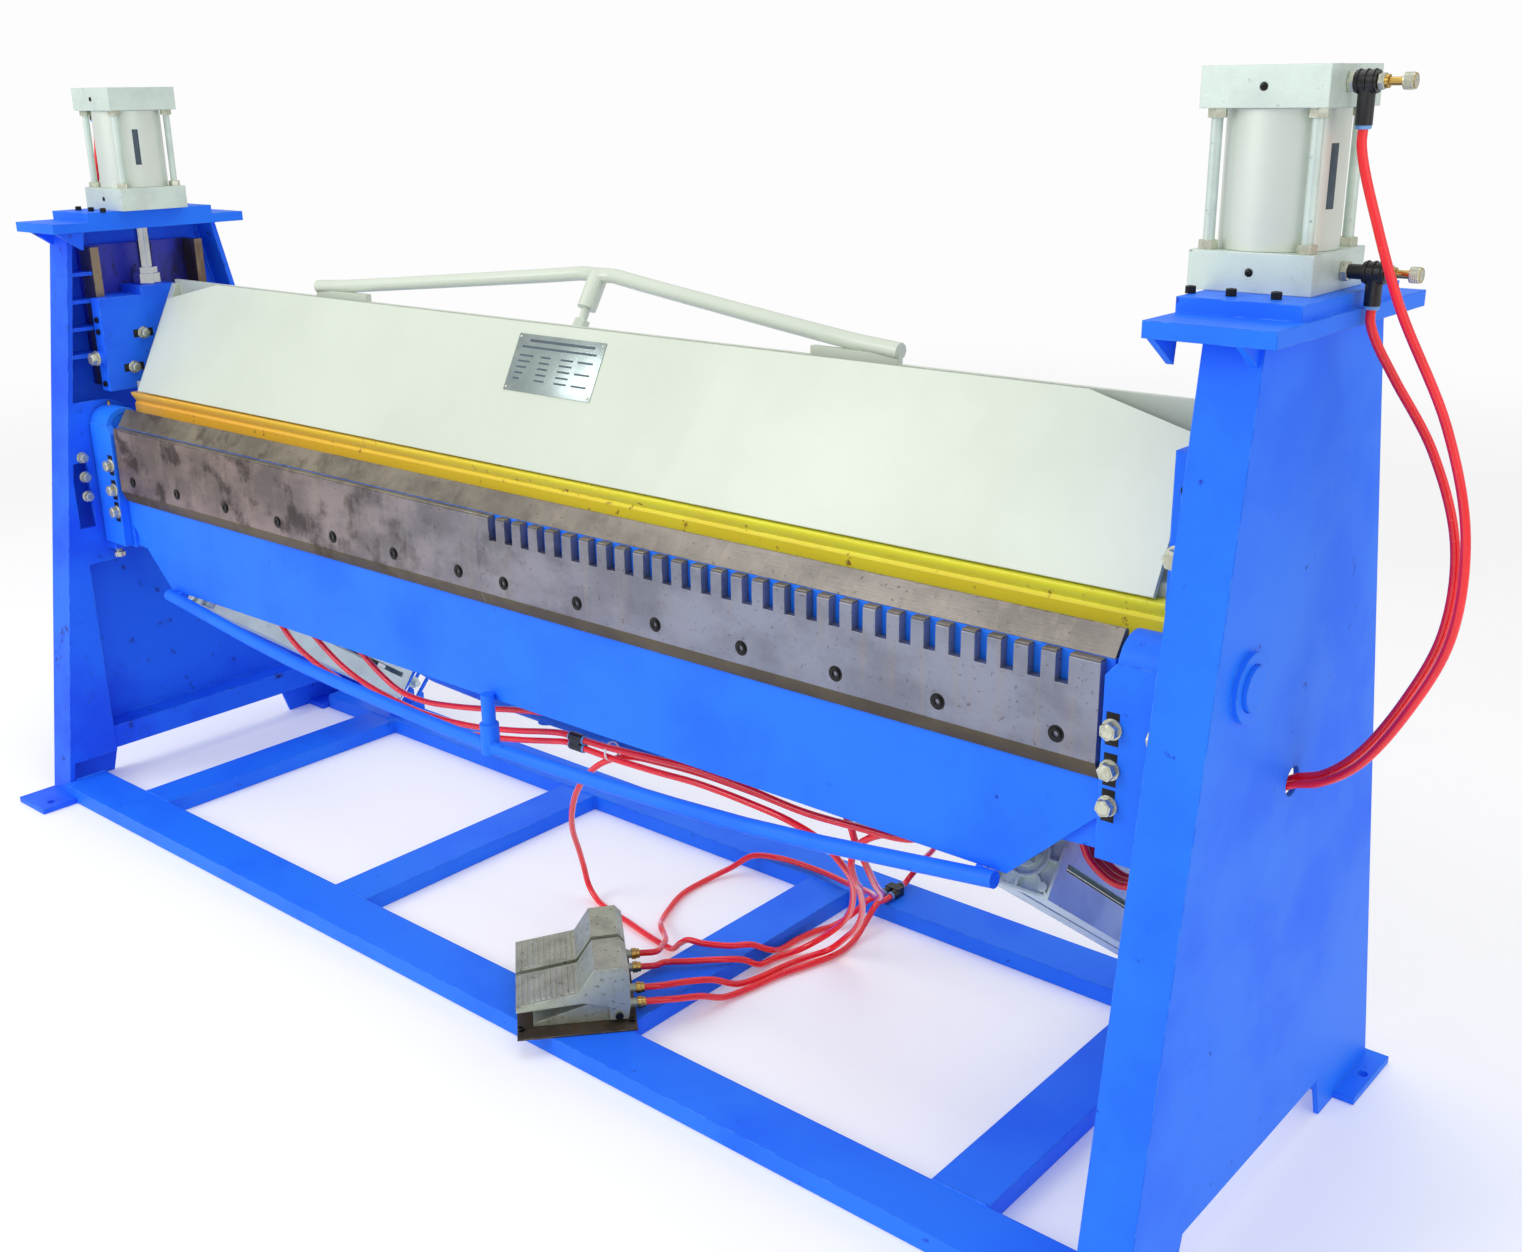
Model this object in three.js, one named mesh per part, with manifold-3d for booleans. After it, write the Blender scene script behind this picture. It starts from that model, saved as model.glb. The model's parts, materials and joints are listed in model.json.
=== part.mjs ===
// Pneumatic sheet-metal folding machine, 2.5 m working length: a fixed bed between two columns,
// a clamping beam that two air cylinders lift, and a folding leaf that two inclined cylinders swing up.
// Millimetres, +Z up, +X along the bed to the operator's right, +Y from the operator to the back.
import * as THREE from "three";
import { mergeVertices } from "three/addons/utils/BufferGeometryUtils.js";
import Module from "manifold-3d";

const wasm = await Module();
wasm.setup();

// ---------------------------------------------------------------- driving dimensions
const GAP = 0.3; // air left between pieces that touch

// Columns: welded C-sections whose front and back edges lean together towards the top.
const COLUMN_OUT = 1416; // outer face of the side plate
const COLUMN_IN = 1339; // free edges of the two flanges
const SIDE_PLATE = 8;
const FLANGE = 12;
const COLUMN_TOP = 1288;
const REAR_FOOT = 855;
const FRONT_LEAN = 191.5 / COLUMN_TOP;
const REAR_LEAN = 300 / COLUMN_TOP;
const ARCH_HEIGHT = 75;
const HOSE_HOLE = [403, 669];

// Base ladder of flat tubes lying on the floor.
const TUBE_HIGH = 34;
const FRONT_TUBE = [-9, 93];
const REAR_TUBE = [731, 833];
const CROSS_TUBES = [-1105, -367, 367, 1105];
const CROSS_WIDE = 100;

// Folding leaf.
const PIVOT = [222, 859];
const PIN_R = 30;
const LEAF_HALF = 1250;
const LEAF_FRONT = 196.3;
const LEAF_PLATE = 10;
const TOOL_FRONT = 180;
const TOOL_HALF = 1237;
const NOTCHES = 28;
const NOTCH_PITCH = 42;
const NOTCH_WIDE = 20;
const TRUSS_R = 13.5;

// Clamping beam.
const APRON_FOOT = [262, 930];
const APRON_HEAD = [388, 1171];
const APRON_THICK = 8;
const BLADE_HALF = 1288;
const BEAM_END = 1299.7;

// Clamp cylinders.
const CYL_X = 1344;
const CYL_Y = 369;
const CAP_HALF = 78.5;
const ROD_CAP = [1328.3, 1376];
const HEAD_CAP = [1540, 1588];
const TIE_AT = 62;
const BARREL_R = 72;
const BORE_R = 66;
const ROD_R = 16;

// Inclined bending cylinders, measured from the pin on the leaf along the rod.
const BEND_X = 1083;
const LEAF_PIN = [222, 549];
const REAR_PIN = [815, 110];
const BODY_HALF = 56;
const BODY_START = 72.7;
const BODY_END = 680;
const BEND_ROD_R = 12.5;
const SLOT_HALF = [41, 45];
const SLOT_R = 22;
const SLOT_WALL = 6;

// Foot valves.
const PEDAL_AT = [267, 110];
const PEDAL_TURN = -0.7217;
const PEDAL_PLATE = [34.3, 37.3];
const PEDALS = { near: 57, far: -62 };
const PORTS = [
  [-14, 24],
  [14, 12],
];
const PORT_END = 125;

// Air hose.
const HOSE_R = 6;
const HOSE_STEP = 58;

const MID_Y = (-90 + 884) / 2; // middle of the footprint from front to back

// ---------------------------------------------------------------- materials
const paint = (color, roughness = 0.42, metalness = 0) =>
  new THREE.MeshStandardMaterial({ color, roughness, metalness });
const BLUE = paint(0x2f55ea);
const BLUE_LIGHT = paint(0x3a66f2, 0.38);
const CREAM = paint(0xe0e6da, 0.45);
const YELLOW = paint(0xf0dc1e, 0.4);
const STEEL = paint(0x5b5048, 0.5, 0.85);
const STEEL_STAINED = paint(0x4a3b30, 0.6, 0.8);
const GUIDE_STEEL = paint(0x8f806b, 0.45, 0.85);
const BRIGHT_STEEL = paint(0xc9ccd0, 0.22, 1);
const CAST_ALUMINIUM = paint(0xc2c8c4, 0.42, 0.9);
const BARREL_ALUMINIUM = paint(0xd7dad6, 0.25, 0.95);
const PEDAL_ALUMINIUM = paint(0x9c9c8e, 0.45, 0.85);
const FITTING_BLACK = paint(0x151619, 0.4);
const BRASS = paint(0xb08a3c, 0.3, 1);
const HOSE_RED = paint(0xe8242c, 0.22);

// ---------------------------------------------------------------- solids
// A closed three.js geometry as a manifold solid.
function solid(geometry) {
  const bare = geometry.index ? geometry.toNonIndexed() : geometry.clone();
  bare.deleteAttribute("normal");
  bare.deleteAttribute("uv");
  const merged = mergeVertices(bare, 1e-4);
  return new wasm.Manifold(
    new wasm.Mesh({
      numProp: 3,
      vertProperties: merged.attributes.position.array,
      triVerts: new Uint32Array(merged.index.array),
    }),
  );
}

const join = (...solids) => solids.flat().reduce((whole, next) => whole.add(next));
const cut = (from, ...tools) => tools.flat().reduce((rest, tool) => rest.subtract(tool), from);

// An outline in two of the machine's axes, run along the third: X takes (y, z), Y takes (x, z), Z takes (x, y).
function prism(axis, outline, from, to) {
  const shape = new THREE.Shape(outline.map(([u, v]) => new THREE.Vector2(u, v)));
  const geometry = new THREE.ExtrudeGeometry(shape, { depth: to - from, bevelEnabled: false });
  const place = new THREE.Matrix4();
  if (axis === "X") place.set(0, 0, 1, from, 1, 0, 0, 0, 0, 1, 0, 0, 0, 0, 0, 1);
  if (axis === "Y") place.set(1, 0, 0, 0, 0, 0, -1, to, 0, 1, 0, 0, 0, 0, 0, 1);
  if (axis === "Z") place.makeTranslation(0, 0, from);
  return solid(geometry.applyMatrix4(place));
}

function box([x0, x1], [y0, y1], [z0, z1]) {
  const geometry = new THREE.BoxGeometry(x1 - x0, y1 - y0, z1 - z0);
  return solid(geometry.translate((x0 + x1) / 2, (y0 + y1) / 2, (z0 + z1) / 2));
}

// Points of an arc about (u, v), angles in degrees.
function arc(u, v, radius, start, end, steps) {
  return Array.from({ length: steps + 1 }, (_, i) => {
    const a = THREE.MathUtils.degToRad(start + ((end - start) * i) / steps);
    return [u + radius * Math.cos(a), v + radius * Math.sin(a)];
  });
}

const ring = (u, v, radius, sides) => arc(u, v, radius, 0, 360 - 360 / sides, sides - 1);

// A round bar along an axis; (u, v) are the other two coordinates in prism()'s order.
const bar = (axis, [u, v], radius, from, to, sides = 20) =>
  prism(axis, ring(u, v, radius, sides), from, to);

// A round bar between any two points.
function strut(a, b, radius, sides = 16) {
  const start = new THREE.Vector3(...a);
  const along = new THREE.Vector3(...b).sub(start);
  const geometry = new THREE.CylinderGeometry(radius, radius, along.length(), sides);
  geometry.translate(0, along.length() / 2, 0);
  const turn = new THREE.Quaternion();
  turn.setFromUnitVectors(new THREE.Vector3(0, 1, 0), along.clone().normalize());
  geometry.applyQuaternion(turn);
  return solid(geometry.translate(...a));
}

// A round tube bent through a list of points.
function bentTube(points, radius, step, sides) {
  const path = new THREE.CatmullRomCurve3(
    points.map((p) => new THREE.Vector3(...p)),
    false,
    "centripetal",
  );
  const section = new THREE.Shape(ring(0, 0, radius, sides).map(([u, v]) => new THREE.Vector2(u, v)));
  const steps = Math.min(80, Math.max(6, Math.round(path.getLength() / step)));
  return solid(new THREE.ExtrudeGeometry(section, { steps, extrudePath: path, bevelEnabled: false }));
}

const machine = new THREE.Group();
machine.position.y = -MID_Y;

function addPart(name, body, material, group = machine) {
  const made = body.getMesh();
  const geometry = new THREE.BufferGeometry();
  geometry.setAttribute("position", new THREE.BufferAttribute(made.vertProperties, 3));
  geometry.setIndex(new THREE.BufferAttribute(made.triVerts, 1));
  geometry.computeVertexNormals();
  const mesh = new THREE.Mesh(geometry, material);
  mesh.name = name;
  group.add(mesh);
}

// ---------------------------------------------------------------- frame
const frontFace = (z) => FRONT_LEAN * z;
const rearFace = (z) => REAR_FOOT - REAR_LEAN * z;

function baseFrame() {
  const reach = COLUMN_IN - GAP;
  const rails = [FRONT_TUBE, REAR_TUBE].map((y) => box([-reach, reach], y, [0, TUBE_HIGH]));
  const rungs = CROSS_TUBES.map((x) =>
    box([x - CROSS_WIDE / 2, x + CROSS_WIDE / 2], [FRONT_TUBE[1] - 5, REAR_TUBE[0] + 5], [0, TUBE_HIGH]),
  );
  return join(rails, rungs);
}

// Inner bearing plate of the column: narrow below, wide and round around the leaf's pin.
function bearingPlate() {
  const outline = [
    [frontFace(ARCH_HEIGHT) + 2, ARCH_HEIGHT],
    [130, ARCH_HEIGHT],
    [130, 570],
    [277, 625],
    ...arc(...PIVOT, 55, 0, 90, 8),
    [frontFace(914) + 2, 914],
  ];
  const window = box([1330, 1360], [122, 160], [627, 778]);
  return cut(prism("X", outline, COLUMN_IN, COLUMN_IN + FLANGE), window);
}

function column() {
  const inner = COLUMN_OUT - SIDE_PLATE;
  const side = prism(
    "X",
    [
      [0, 0],
      [150, 0],
      [170, ARCH_HEIGHT],
      [630, ARCH_HEIGHT],
      [655, 0],
      [REAR_FOOT, 0],
      [rearFace(COLUMN_TOP), COLUMN_TOP],
      [frontFace(COLUMN_TOP), COLUMN_TOP],
    ],
    inner,
    COLUMN_OUT,
  );
  const flanges = [
    [frontFace, 0, FLANGE],
    [rearFace, -FLANGE, 0],
  ].map(([face, back, front]) =>
    prism(
      "X",
      [
        [face(0) + back, 0],
        [face(0) + front, 0],
        [face(COLUMN_TOP) + front, COLUMN_TOP],
        [face(COLUMN_TOP) + back, COLUMN_TOP],
      ],
      COLUMN_IN,
      inner + 1,
    ),
  );
  const floorRail = box([1345, inner + 1], [frontFace(135) + 5, rearFace(75) - 25], [80, 135]);
  const ribs = [1010, 1070, 1130, 1190].map((z) => box([1345, inner + 1], [frontFace(z) + 6, 239.6], [z, z + 8]));
  const frontFoot = prism(
    "Z",
    [
      [1290, -90],
      [1403, -90],
      [1403, 5],
      [1340, 5],
      [1340, FRONT_TUBE[0] - 0.5],
      [1290, FRONT_TUBE[0] - 0.5],
    ],
    0,
    12,
  );
  const rearFoot = box([1345, 1450], [714, 868], [0, 12]);
  const pinBoss = bar("X", PIVOT, 46, COLUMN_OUT - 1, COLUMN_OUT + 8, 28);
  const stopBlock = box([1304, 1341], [182, 214], [572, 586]);
  const stopLug = box([1339, 1351], [100, 214], [540, 600]);
  const stopBolt = bar("Z", [1318, 196], 7, 552, 589, 12);
  const stopHead = bar("Z", [1318, 196], 12, 552, 561, 6);
  const inlet = box([1368, inner + 1], [425, 455], [715, 745]);
  const holes = [
    bar("X", PIVOT, PIN_R + 1, 1330, 1430, 16),
    bar("X", HOSE_HOLE, 22, 1400, 1420, 16),
    bar("Z", [1318, -56], 9, -1, 13, 12),
    bar("Z", [1434, 791], 9, -1, 13, 12),
  ];
  const shell = join(side, flanges, floorRail, ribs, frontFoot, rearFoot, pinBoss, bearingPlate());
  return cut(join(shell, stopLug, stopBlock, stopBolt, stopHead, inlet), holes);
}

// Machined U that guides the clamping beam's slide block.
function guideChannel() {
  const whole = box([1342, COLUMN_OUT - SIDE_PLATE - GAP], [240, 518], [940, 1250]);
  return cut(whole, box([1330, 1398], [260, 498], [930, 1260]));
}

function cylinderSeat() {
  const plates = join(
    box([1288, 1452], [135, 600], [COLUMN_TOP + GAP, 1309]),
    box([1288, 1444], [218, 520], [1308, ROD_CAP[0] - GAP]),
  );
  return cut(plates, bar("Z", [CYL_X, CYL_Y], 20, 1280, 1340));
}

const pivotPin = () => bar("X", PIVOT, PIN_R, 1264, COLUMN_OUT + 14, 24);

// Fixed bed: closed beam with its top blade, a tensioned truss tube below and the air inlet at the back.
function bedBeam() {
  const end = COLUMN_IN - GAP;
  const beam = box([-end, end], [310, 420], [620, 843]);
  const blade = box([-1300, 1300], [268, 470], [842, 862]);
  const truss = bentTube(
    [
      [-950, 324, 628],
      [-400, 318, 455],
      [-60, 318, 438],
      [60, 318, 438],
      [400, 318, 455],
      [950, 324, 628],
    ],
    TRUSS_R,
    170,
    10,
  );
  const post = bar("Z", [0, 325], 12, 440, 622, 16);
  const sleeve = bar("Z", [0, 322], 17, 424, 470, 16);
  const inlet = bar("Y", [775, 690], 10, 419, 449.7, 12);
  return join(beam, blade, truss, post, sleeve, inlet);
}

// ---------------------------------------------------------------- clamp cylinders
function cap([bottom, top]) {
  const block = box([CYL_X - CAP_HALF, CYL_X + CAP_HALF], [CYL_Y - CAP_HALF, CYL_Y + CAP_HALF], [bottom, top]);
  const screwHole = bar("Y", [CYL_X, (bottom + top) / 2], 5, CYL_Y - CAP_HALF - 1, CYL_Y - CAP_HALF + 4, 12);
  return cut(block, screwHole);
}

const rodCap = () => cut(cap(ROD_CAP), bar("Z", [CYL_X, CYL_Y], ROD_R + 0.5, 1320, 1380));

function barrel() {
  const from = ROD_CAP[1] + GAP;
  const to = HEAD_CAP[0] - GAP;
  const wall = bar("Z", [CYL_X, CYL_Y], BARREL_R, from, to, 36);
  return cut(wall, bar("Z", [CYL_X, CYL_Y], BORE_R, from - 1, to + 1, 24));
}

function headCap() {
  const ties = [-1, 1].flatMap((i) =>
    [-1, 1].map((j) =>
      bar("Z", [CYL_X + i * TIE_AT, CYL_Y + j * TIE_AT], 7, ROD_CAP[1] + GAP, HEAD_CAP[0] + 1, 12),
    ),
  );
  return join(cap(HEAD_CAP), ties);
}

function clampPistonRod() {
  const piston = bar("Z", [CYL_X, CYL_Y], BORE_R - 1, 1385, 1415, 24);
  const rod = bar("Z", [CYL_X, CYL_Y], ROD_R, 1160.3, 1386);
  const nut = bar("Z", [CYL_X, CYL_Y], 29, 1160.3, 1184, 6);
  const lockNut = bar("Z", [CYL_X, CYL_Y], 25, 1183, 1198, 6);
  return join(piston, rod, nut, lockNut);
}

// Flow regulator on a cylinder port: threaded neck, round body and a push-in elbow turned down.
function flowRegulator(y, z, elbowX, elbowEnd) {
  const face = CYL_X + CAP_HALF + GAP;
  return join(
    bar("X", [y, z], 12, face, face + 8, 6),
    bar("X", [y, z], 9, face + 7, elbowX, 12),
    bar("X", [y, z], 13, elbowX - 13, elbowX + 13, 16),
    bar("Z", [elbowX, y], 10, elbowEnd, z, 12),
  );
}

const flowScrew = (y, z, from) =>
  join(
    bar("X", [y, z], 8, from + GAP, from + 12, 10),
    bar("X", [y, z], 5, from + 11, from + 30, 10),
    bar("X", [y, z], 9, from + 29, from + 42, 10),
  );

// ---------------------------------------------------------------- clamping beam
// A plate in the apron's leaning plane: outline in (x, distance up the slope), thickness to the back.
function onSlope(outline, back, front) {
  const rise = Math.atan2(APRON_HEAD[1] - APRON_FOOT[1], APRON_HEAD[0] - APRON_FOOT[0]);
  const shape = new THREE.Shape(outline.map(([u, v]) => new THREE.Vector2(u, v)));
  const geometry = new THREE.ExtrudeGeometry(shape, { depth: back - front, bevelEnabled: false });
  geometry.translate(0, 0, -back);
  geometry.rotateX(rise);
  return solid(geometry.translate(0, ...APRON_FOOT));
}

function clampApron() {
  const slope = Math.hypot(APRON_HEAD[0] - APRON_FOOT[0], APRON_HEAD[1] - APRON_FOOT[1]);
  return onSlope(
    [
      [-1262, 5],
      [1262, 5],
      [1262, slope - 45],
      [1085, slope],
      [-1085, slope],
      [-1262, slope - 45],
    ],
    APRON_THICK,
    0,
  );
}

function clampBeam() {
  const foot = box([-BEAM_END, BEAM_END], [286, 421], [930, 950]);
  const web = box([-BEAM_END, BEAM_END], [412, 421], [949, 1168]);
  const outline = [
    [286, 932],
    [420, 932],
    [420, 1160],
    [404, 1160],
  ];
  const ends = [-BEAM_END, BEAM_END - 18].map((x) => prism("X", outline, x, x + 18));
  const ledge = box([-30, 30], [420, 474], [1138, 1152]);
  return join(foot, web, ends, ledge, clampTruss());
}

// Pressing blade under the beam, grooved along its front.
const clampBlade = () =>
  prism(
    "X",
    [
      [262, 929.6],
      [262, 924],
      [273, 908],
      [268.5, 903],
      [268.5, 866],
      [271, 864],
      [292, 864],
      [330, 902],
      [330, 929.6],
    ],
    -BLADE_HALF,
    BLADE_HALF,
  );

// Truss tube that stiffens the beam from behind, with its threaded middle strut.
function clampTruss() {
  const tube = bentTube(
    [
      [-745, 419, 1187],
      [-690, 422, 1190],
      [-90, 502, 1243],
      [0, 513, 1251],
      [90, 502, 1243],
      [690, 422, 1190],
      [745, 419, 1187],
    ],
    TRUSS_R,
    90,
    10,
  );
  const tabs = [-745, 575].map((x) => box([x, x + 170], [412, 424], [1167, 1182]));
  const neck = [0, 452, 1150];
  const nutTop = [0, 464, 1170];
  const sleeveFoot = [0, 476, 1190];
  const apex = [0, 513, 1250];
  return join(tube, tabs, strut(neck, sleeveFoot, 8), strut(neck, nutTop, 15, 6), strut(sleeveFoot, apex, 18));
}

function slideBlock() {
  const face = box([1300, 1336], [222, 500], [935, 1142]);
  const tongue = box([1335, 1396], [262, 496], [935, 1142]);
  const saddle = box([1300, 1388], [325, 413], [1141, 1160]);
  const collar = bar("Y", [1318, 1010], 16, 207, 223, 16);
  const bolt = bar("Y", [1318, 1010], 13, 196, 208, 6);
  return join(face, tongue, saddle, collar, bolt);
}

// ---------------------------------------------------------------- folding leaf
function leafApron() {
  const back = LEAF_FRONT + LEAF_PLATE;
  const plate = prism(
    "Y",
    [
      [-LEAF_HALF, 651],
      [-1100, 510],
      [1100, 510],
      [LEAF_HALF, 651],
      [LEAF_HALF, 865],
      [-LEAF_HALF, 865],
    ],
    LEAF_FRONT,
    back,
  );
  const topBar = box([-LEAF_HALF, LEAF_HALF], [back - 1, 229], [800, 865]);
  const sides = [-1, 1].map((side) => {
    const endPlate = box([1236, 1290], [LEAF_FRONT, 216], [585, 800]);
    const gusset = prism("Y", [[1179, 585], [1246, 590], [1248, 651], [1190, 640]], back - 2, 214);
    const lugOutline = [[back - 2, 531], [LEAF_PIN[0], 531], ...arc(...LEAF_PIN, 18, -80, 80, 8), [back - 2, 567]];
    const lug = prism("X", lugOutline, BEND_X - 8, BEND_X + 8);
    const bored = cut(join(endPlate, gusset, lug), bar("X", LEAF_PIN, 8.4, BEND_X - 20, BEND_X + 20, 16));
    return side > 0 ? bored : bored.mirror([1, 0, 0]);
  });
  return join(plate, topBar, sides);
}

const noseBar = () =>
  prism(
    "X",
    [
      [198, 865.3],
      [229, 865.3],
      [231, 894],
      [229, 899],
      [223, 900.4],
    ],
    -1248,
    1248,
  );

const TOOL_PROFILE = [
  [TOOL_FRONT, 722],
  [190, 697],
  [196, 697],
  [196, 862],
  [TOOL_FRONT + 1, 862],
  [TOOL_FRONT, 861],
];

const plainTool = () => prism("X", TOOL_PROFILE, -TOOL_HALF, 6.8);

function notchedTool() {
  const first = 47;
  const notches = Array.from({ length: NOTCHES }, (_, i) => {
    const x = first + i * NOTCH_PITCH;
    return box([x - NOTCH_WIDE / 2, x + NOTCH_WIDE / 2], [170, 200], [822, 870]);
  });
  return cut(prism("X", TOOL_PROFILE, 7.2, TOOL_HALF), notches);
}

function leafTruss() {
  const y = 182;
  const tube = bentTube(
    [
      [-1090, y, 503],
      [-635, y, 448],
      [-120, y, 422],
      [0, y, 420],
      [120, y, 422],
      [635, y, 448],
      [1090, y, 503],
    ],
    TRUSS_R,
    160,
    10,
  );
  return join(tube, bar("Z", [0, y], 13, 455, 524, 16), bar("Z", [0, y], 18, 408, 467, 16));
}

function hingeArm() {
  const plate = prism("Y", [[1246, 590], [1332, 590], [1332, 868], [1262, 868], [1246, 850]], 176, 196);
  const hub = bar("X", PIVOT, 44, 1262, 1334, 28);
  return cut(join(plate, hub), bar("X", PIVOT, PIN_R + 1, 1255, 1340, 16));
}

// ---------------------------------------------------------------- bending cylinders
// Drawn along +Y from the leaf pin, then tipped down to the rear pin.
const bendLength = Math.hypot(REAR_PIN[0] - LEAF_PIN[0], REAR_PIN[1] - LEAF_PIN[1]);
const bendTilt = Math.atan2(REAR_PIN[1] - LEAF_PIN[1], REAR_PIN[0] - LEAF_PIN[0]);

function bendingRod() {
  const ears = [
    [-27, -11],
    [11, 27],
  ].map(([from, to]) => prism("X", [[0, -14.5], [40, -14.5], [40, 14.5], ...arc(0, 0, 14.5, 90, 270, 8)], from, to));
  const yoke = box([-27, 27], [28, 52], [-14.5, 14.5]);
  const pin = bar("X", [0, 0], 8, -29, 29, 16);
  const rod = bar("Y", [0, 0], BEND_ROD_R, 50, 575, 16);
  const piston = bar("Y", [0, 0], 48, 574, 600, 20);
  return join(ears, yoke, pin, rod, piston);
}

// Ribs of the die-cast front cover: a ring, a cross and corner bosses left standing in a pocket.
function coverPocket() {
  const pocket = box([-51, 51], [BODY_START - 1, BODY_START + 9], [-51, 51]);
  const ribs = [0, 45, 90, 135].map((angle) => {
    const geometry = new THREE.BoxGeometry(160, 30, 4).translate(0, BODY_START + 4, 0);
    return solid(geometry.rotateY(THREE.MathUtils.degToRad(angle)));
  });
  const bosses = [-41, 41].flatMap((x) => [-41, 41].map((z) => bar("Y", [x, z], 8, 60, 90, 8)));
  const hub = bar("Y", [0, 0], 37, 60, 90, 20);
  const groove = cut(
    bar("Y", [0, 0], 32, BODY_START - 1, BODY_START + 6, 20),
    bar("Y", [0, 0], 21, BODY_START - 2, BODY_START + 7, 20),
  );
  return join(cut(pocket, ribs, bosses, hub), groove);
}

function bendingBody() {
  const block = box([-BODY_HALF, BODY_HALF], [BODY_START, BODY_END], [-BODY_HALF, BODY_HALF]);
  const bore = bar("Y", [0, 0], 50, BODY_START + 26, BODY_END - 24, 20);
  const rodHole = bar("Y", [0, 0], 13.4, BODY_START - 1, BODY_START + 30, 16);
  const grooves = [-1, 1].flatMap((side) => [
    box([side * 53 - 4, side * 53 + 4], [BODY_START + 25, BODY_END - 25], [-6, 6]),
    box([-6, 6], [BODY_START + 25, BODY_END - 25], [side * 53 - 4, side * 53 + 4]),
  ]);
  const eye = prism(
    "X",
    [[BODY_END - 1, -15], [bendLength, -15], ...arc(bendLength, 0, 15, -80, 80, 8), [BODY_END - 1, 15]],
    -12,
    12,
  );
  const pin = bar("X", [bendLength, 0], 8, -27, 27, 16);
  return join(cut(block, bore, rodHole, grooves, coverPocket()), eye, pin);
}

// Rear bracket on the base: two slotted cheeks on a foot plate.
function bendingBracket() {
  const [y, z] = REAR_PIN;
  const lean = THREE.MathUtils.radToDeg(Math.atan2(SLOT_HALF[1], SLOT_HALF[0]));
  const stadium = (radius) => [
    ...arc(y + SLOT_HALF[0], z + SLOT_HALF[1], radius, lean - 90, lean + 90, 6),
    ...arc(y - SLOT_HALF[0], z - SLOT_HALF[1], radius, lean + 90, lean + 270, 6),
  ];
  const cheek = join(
    prism("X", stadium(SLOT_R + SLOT_WALL), -24, -16),
    box([-24, -16], [756, REAR_TUBE[1]], [TUBE_HIGH + GAP, 80]),
  );
  const cheeks = [cheek, cheek.translate([40, 0, 0])];
  const footPlate = box([-24, 24], [756, REAR_TUBE[1]], [TUBE_HIGH + GAP, 42]);
  return cut(join(cheeks, footPlate), prism("X", stadium(SLOT_R), -30, 30));
}

// ---------------------------------------------------------------- foot valves
// Drawn with the toe towards -Y; the hoses leave at +Y.
const pedalPlate = () => box([-137, 137], [-98, 108], PEDAL_PLATE);

function pedalBody() {
  const wedge = [
    [-70, 0],
    [92, 0],
    [92, 50],
    [84, 60],
    [42, 60],
    [22, 34],
    [-70, 6],
  ];
  const ports = PORTS.map(([x, z]) => bar("Y", [x, z], 8, 90, PORT_END - GAP, 12));
  const axle = bar("X", [78, 14], 5, -57, 57, 12);
  return join(prism("X", wedge, -44, 44), ports, axle);
}

function pedalTreadle() {
  const outside = [
    [-98, 34],
    [18, 42],
    [62, 30],
    [62, 5],
    [94, 5],
    [98, 30],
    [98, 92],
    [86, 106],
    [38, 104],
    [10, 62],
    [-98, 46],
  ];
  const inside = [
    [-92, -10],
    [120, -10],
    [120, 66],
    [92, 66],
    [92, 88],
    [82, 99],
    [41, 97],
    [13, 55],
    [-92, 40],
  ];
  const shell = cut(prism("X", outside, -53, 53), prism("X", inside, -47, 47));
  const ribs = Array.from({ length: 10 }, (_, i) => {
    const t = -92 + i * 10;
    const z = 46 + ((t + 98) * 16) / 108;
    return box([-46, 46], [t, t + 5], [z - 2, z + 1.9]);
  });
  return cut(join(shell, ribs), bar("X", [78, 14], 5.5, -60, 60, 12));
}

// ---------------------------------------------------------------- air hoses
// The stretch behind the leaf from a column's hose hole to the bed, over the bending cylinder.
const BEHIND_LEAF = [
  [1352, 385, 590],
  [1300, 362, 530],
  [1255, 342, 492],
  [1212, 330, 481],
  [1172, 322, 508],
  [1154, 306, 570],
  [1132, 288, 615],
  [1083, 284, 640],
  [1035, 284, 622],
];
const lane = (points, dy, side = 1) => points.map(([x, y, z]) => [x * side, y + dy, z]);
const back = (points) => [...points].reverse();

// Outside the column: from the two regulators down to the hole in the side plate.
const OUTSIDE_TOP = [
  [1443, 347, 1519.7],
  [1443, 347, 1500],
  [1448, 348, 1475],
  [1464, 350, 1425],
  [1505, 354, 1316],
  [1569, 374, 1177],
  [1602, 388, 1045],
  [1599, 393, 915],
  [1560, 394, 811],
  [1504, 395, 719],
  [1455, 396, 680],
  [1416, 396, 666],
  [1380, 386, 640],
];
const OUTSIDE_BOTTOM = [
  [1462, 382, 1311.7],
  [1462, 382, 1294],
  [1469, 388, 1270],
  [1492, 400, 1225],
  [1545, 408, 1140],
  [1584, 410, 1030],
  [1583, 411, 915],
  [1547, 411, 815],
  [1496, 411, 727],
  [1452, 411, 686],
  [1416, 411, 671],
  [1382, 402, 645],
];

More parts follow.
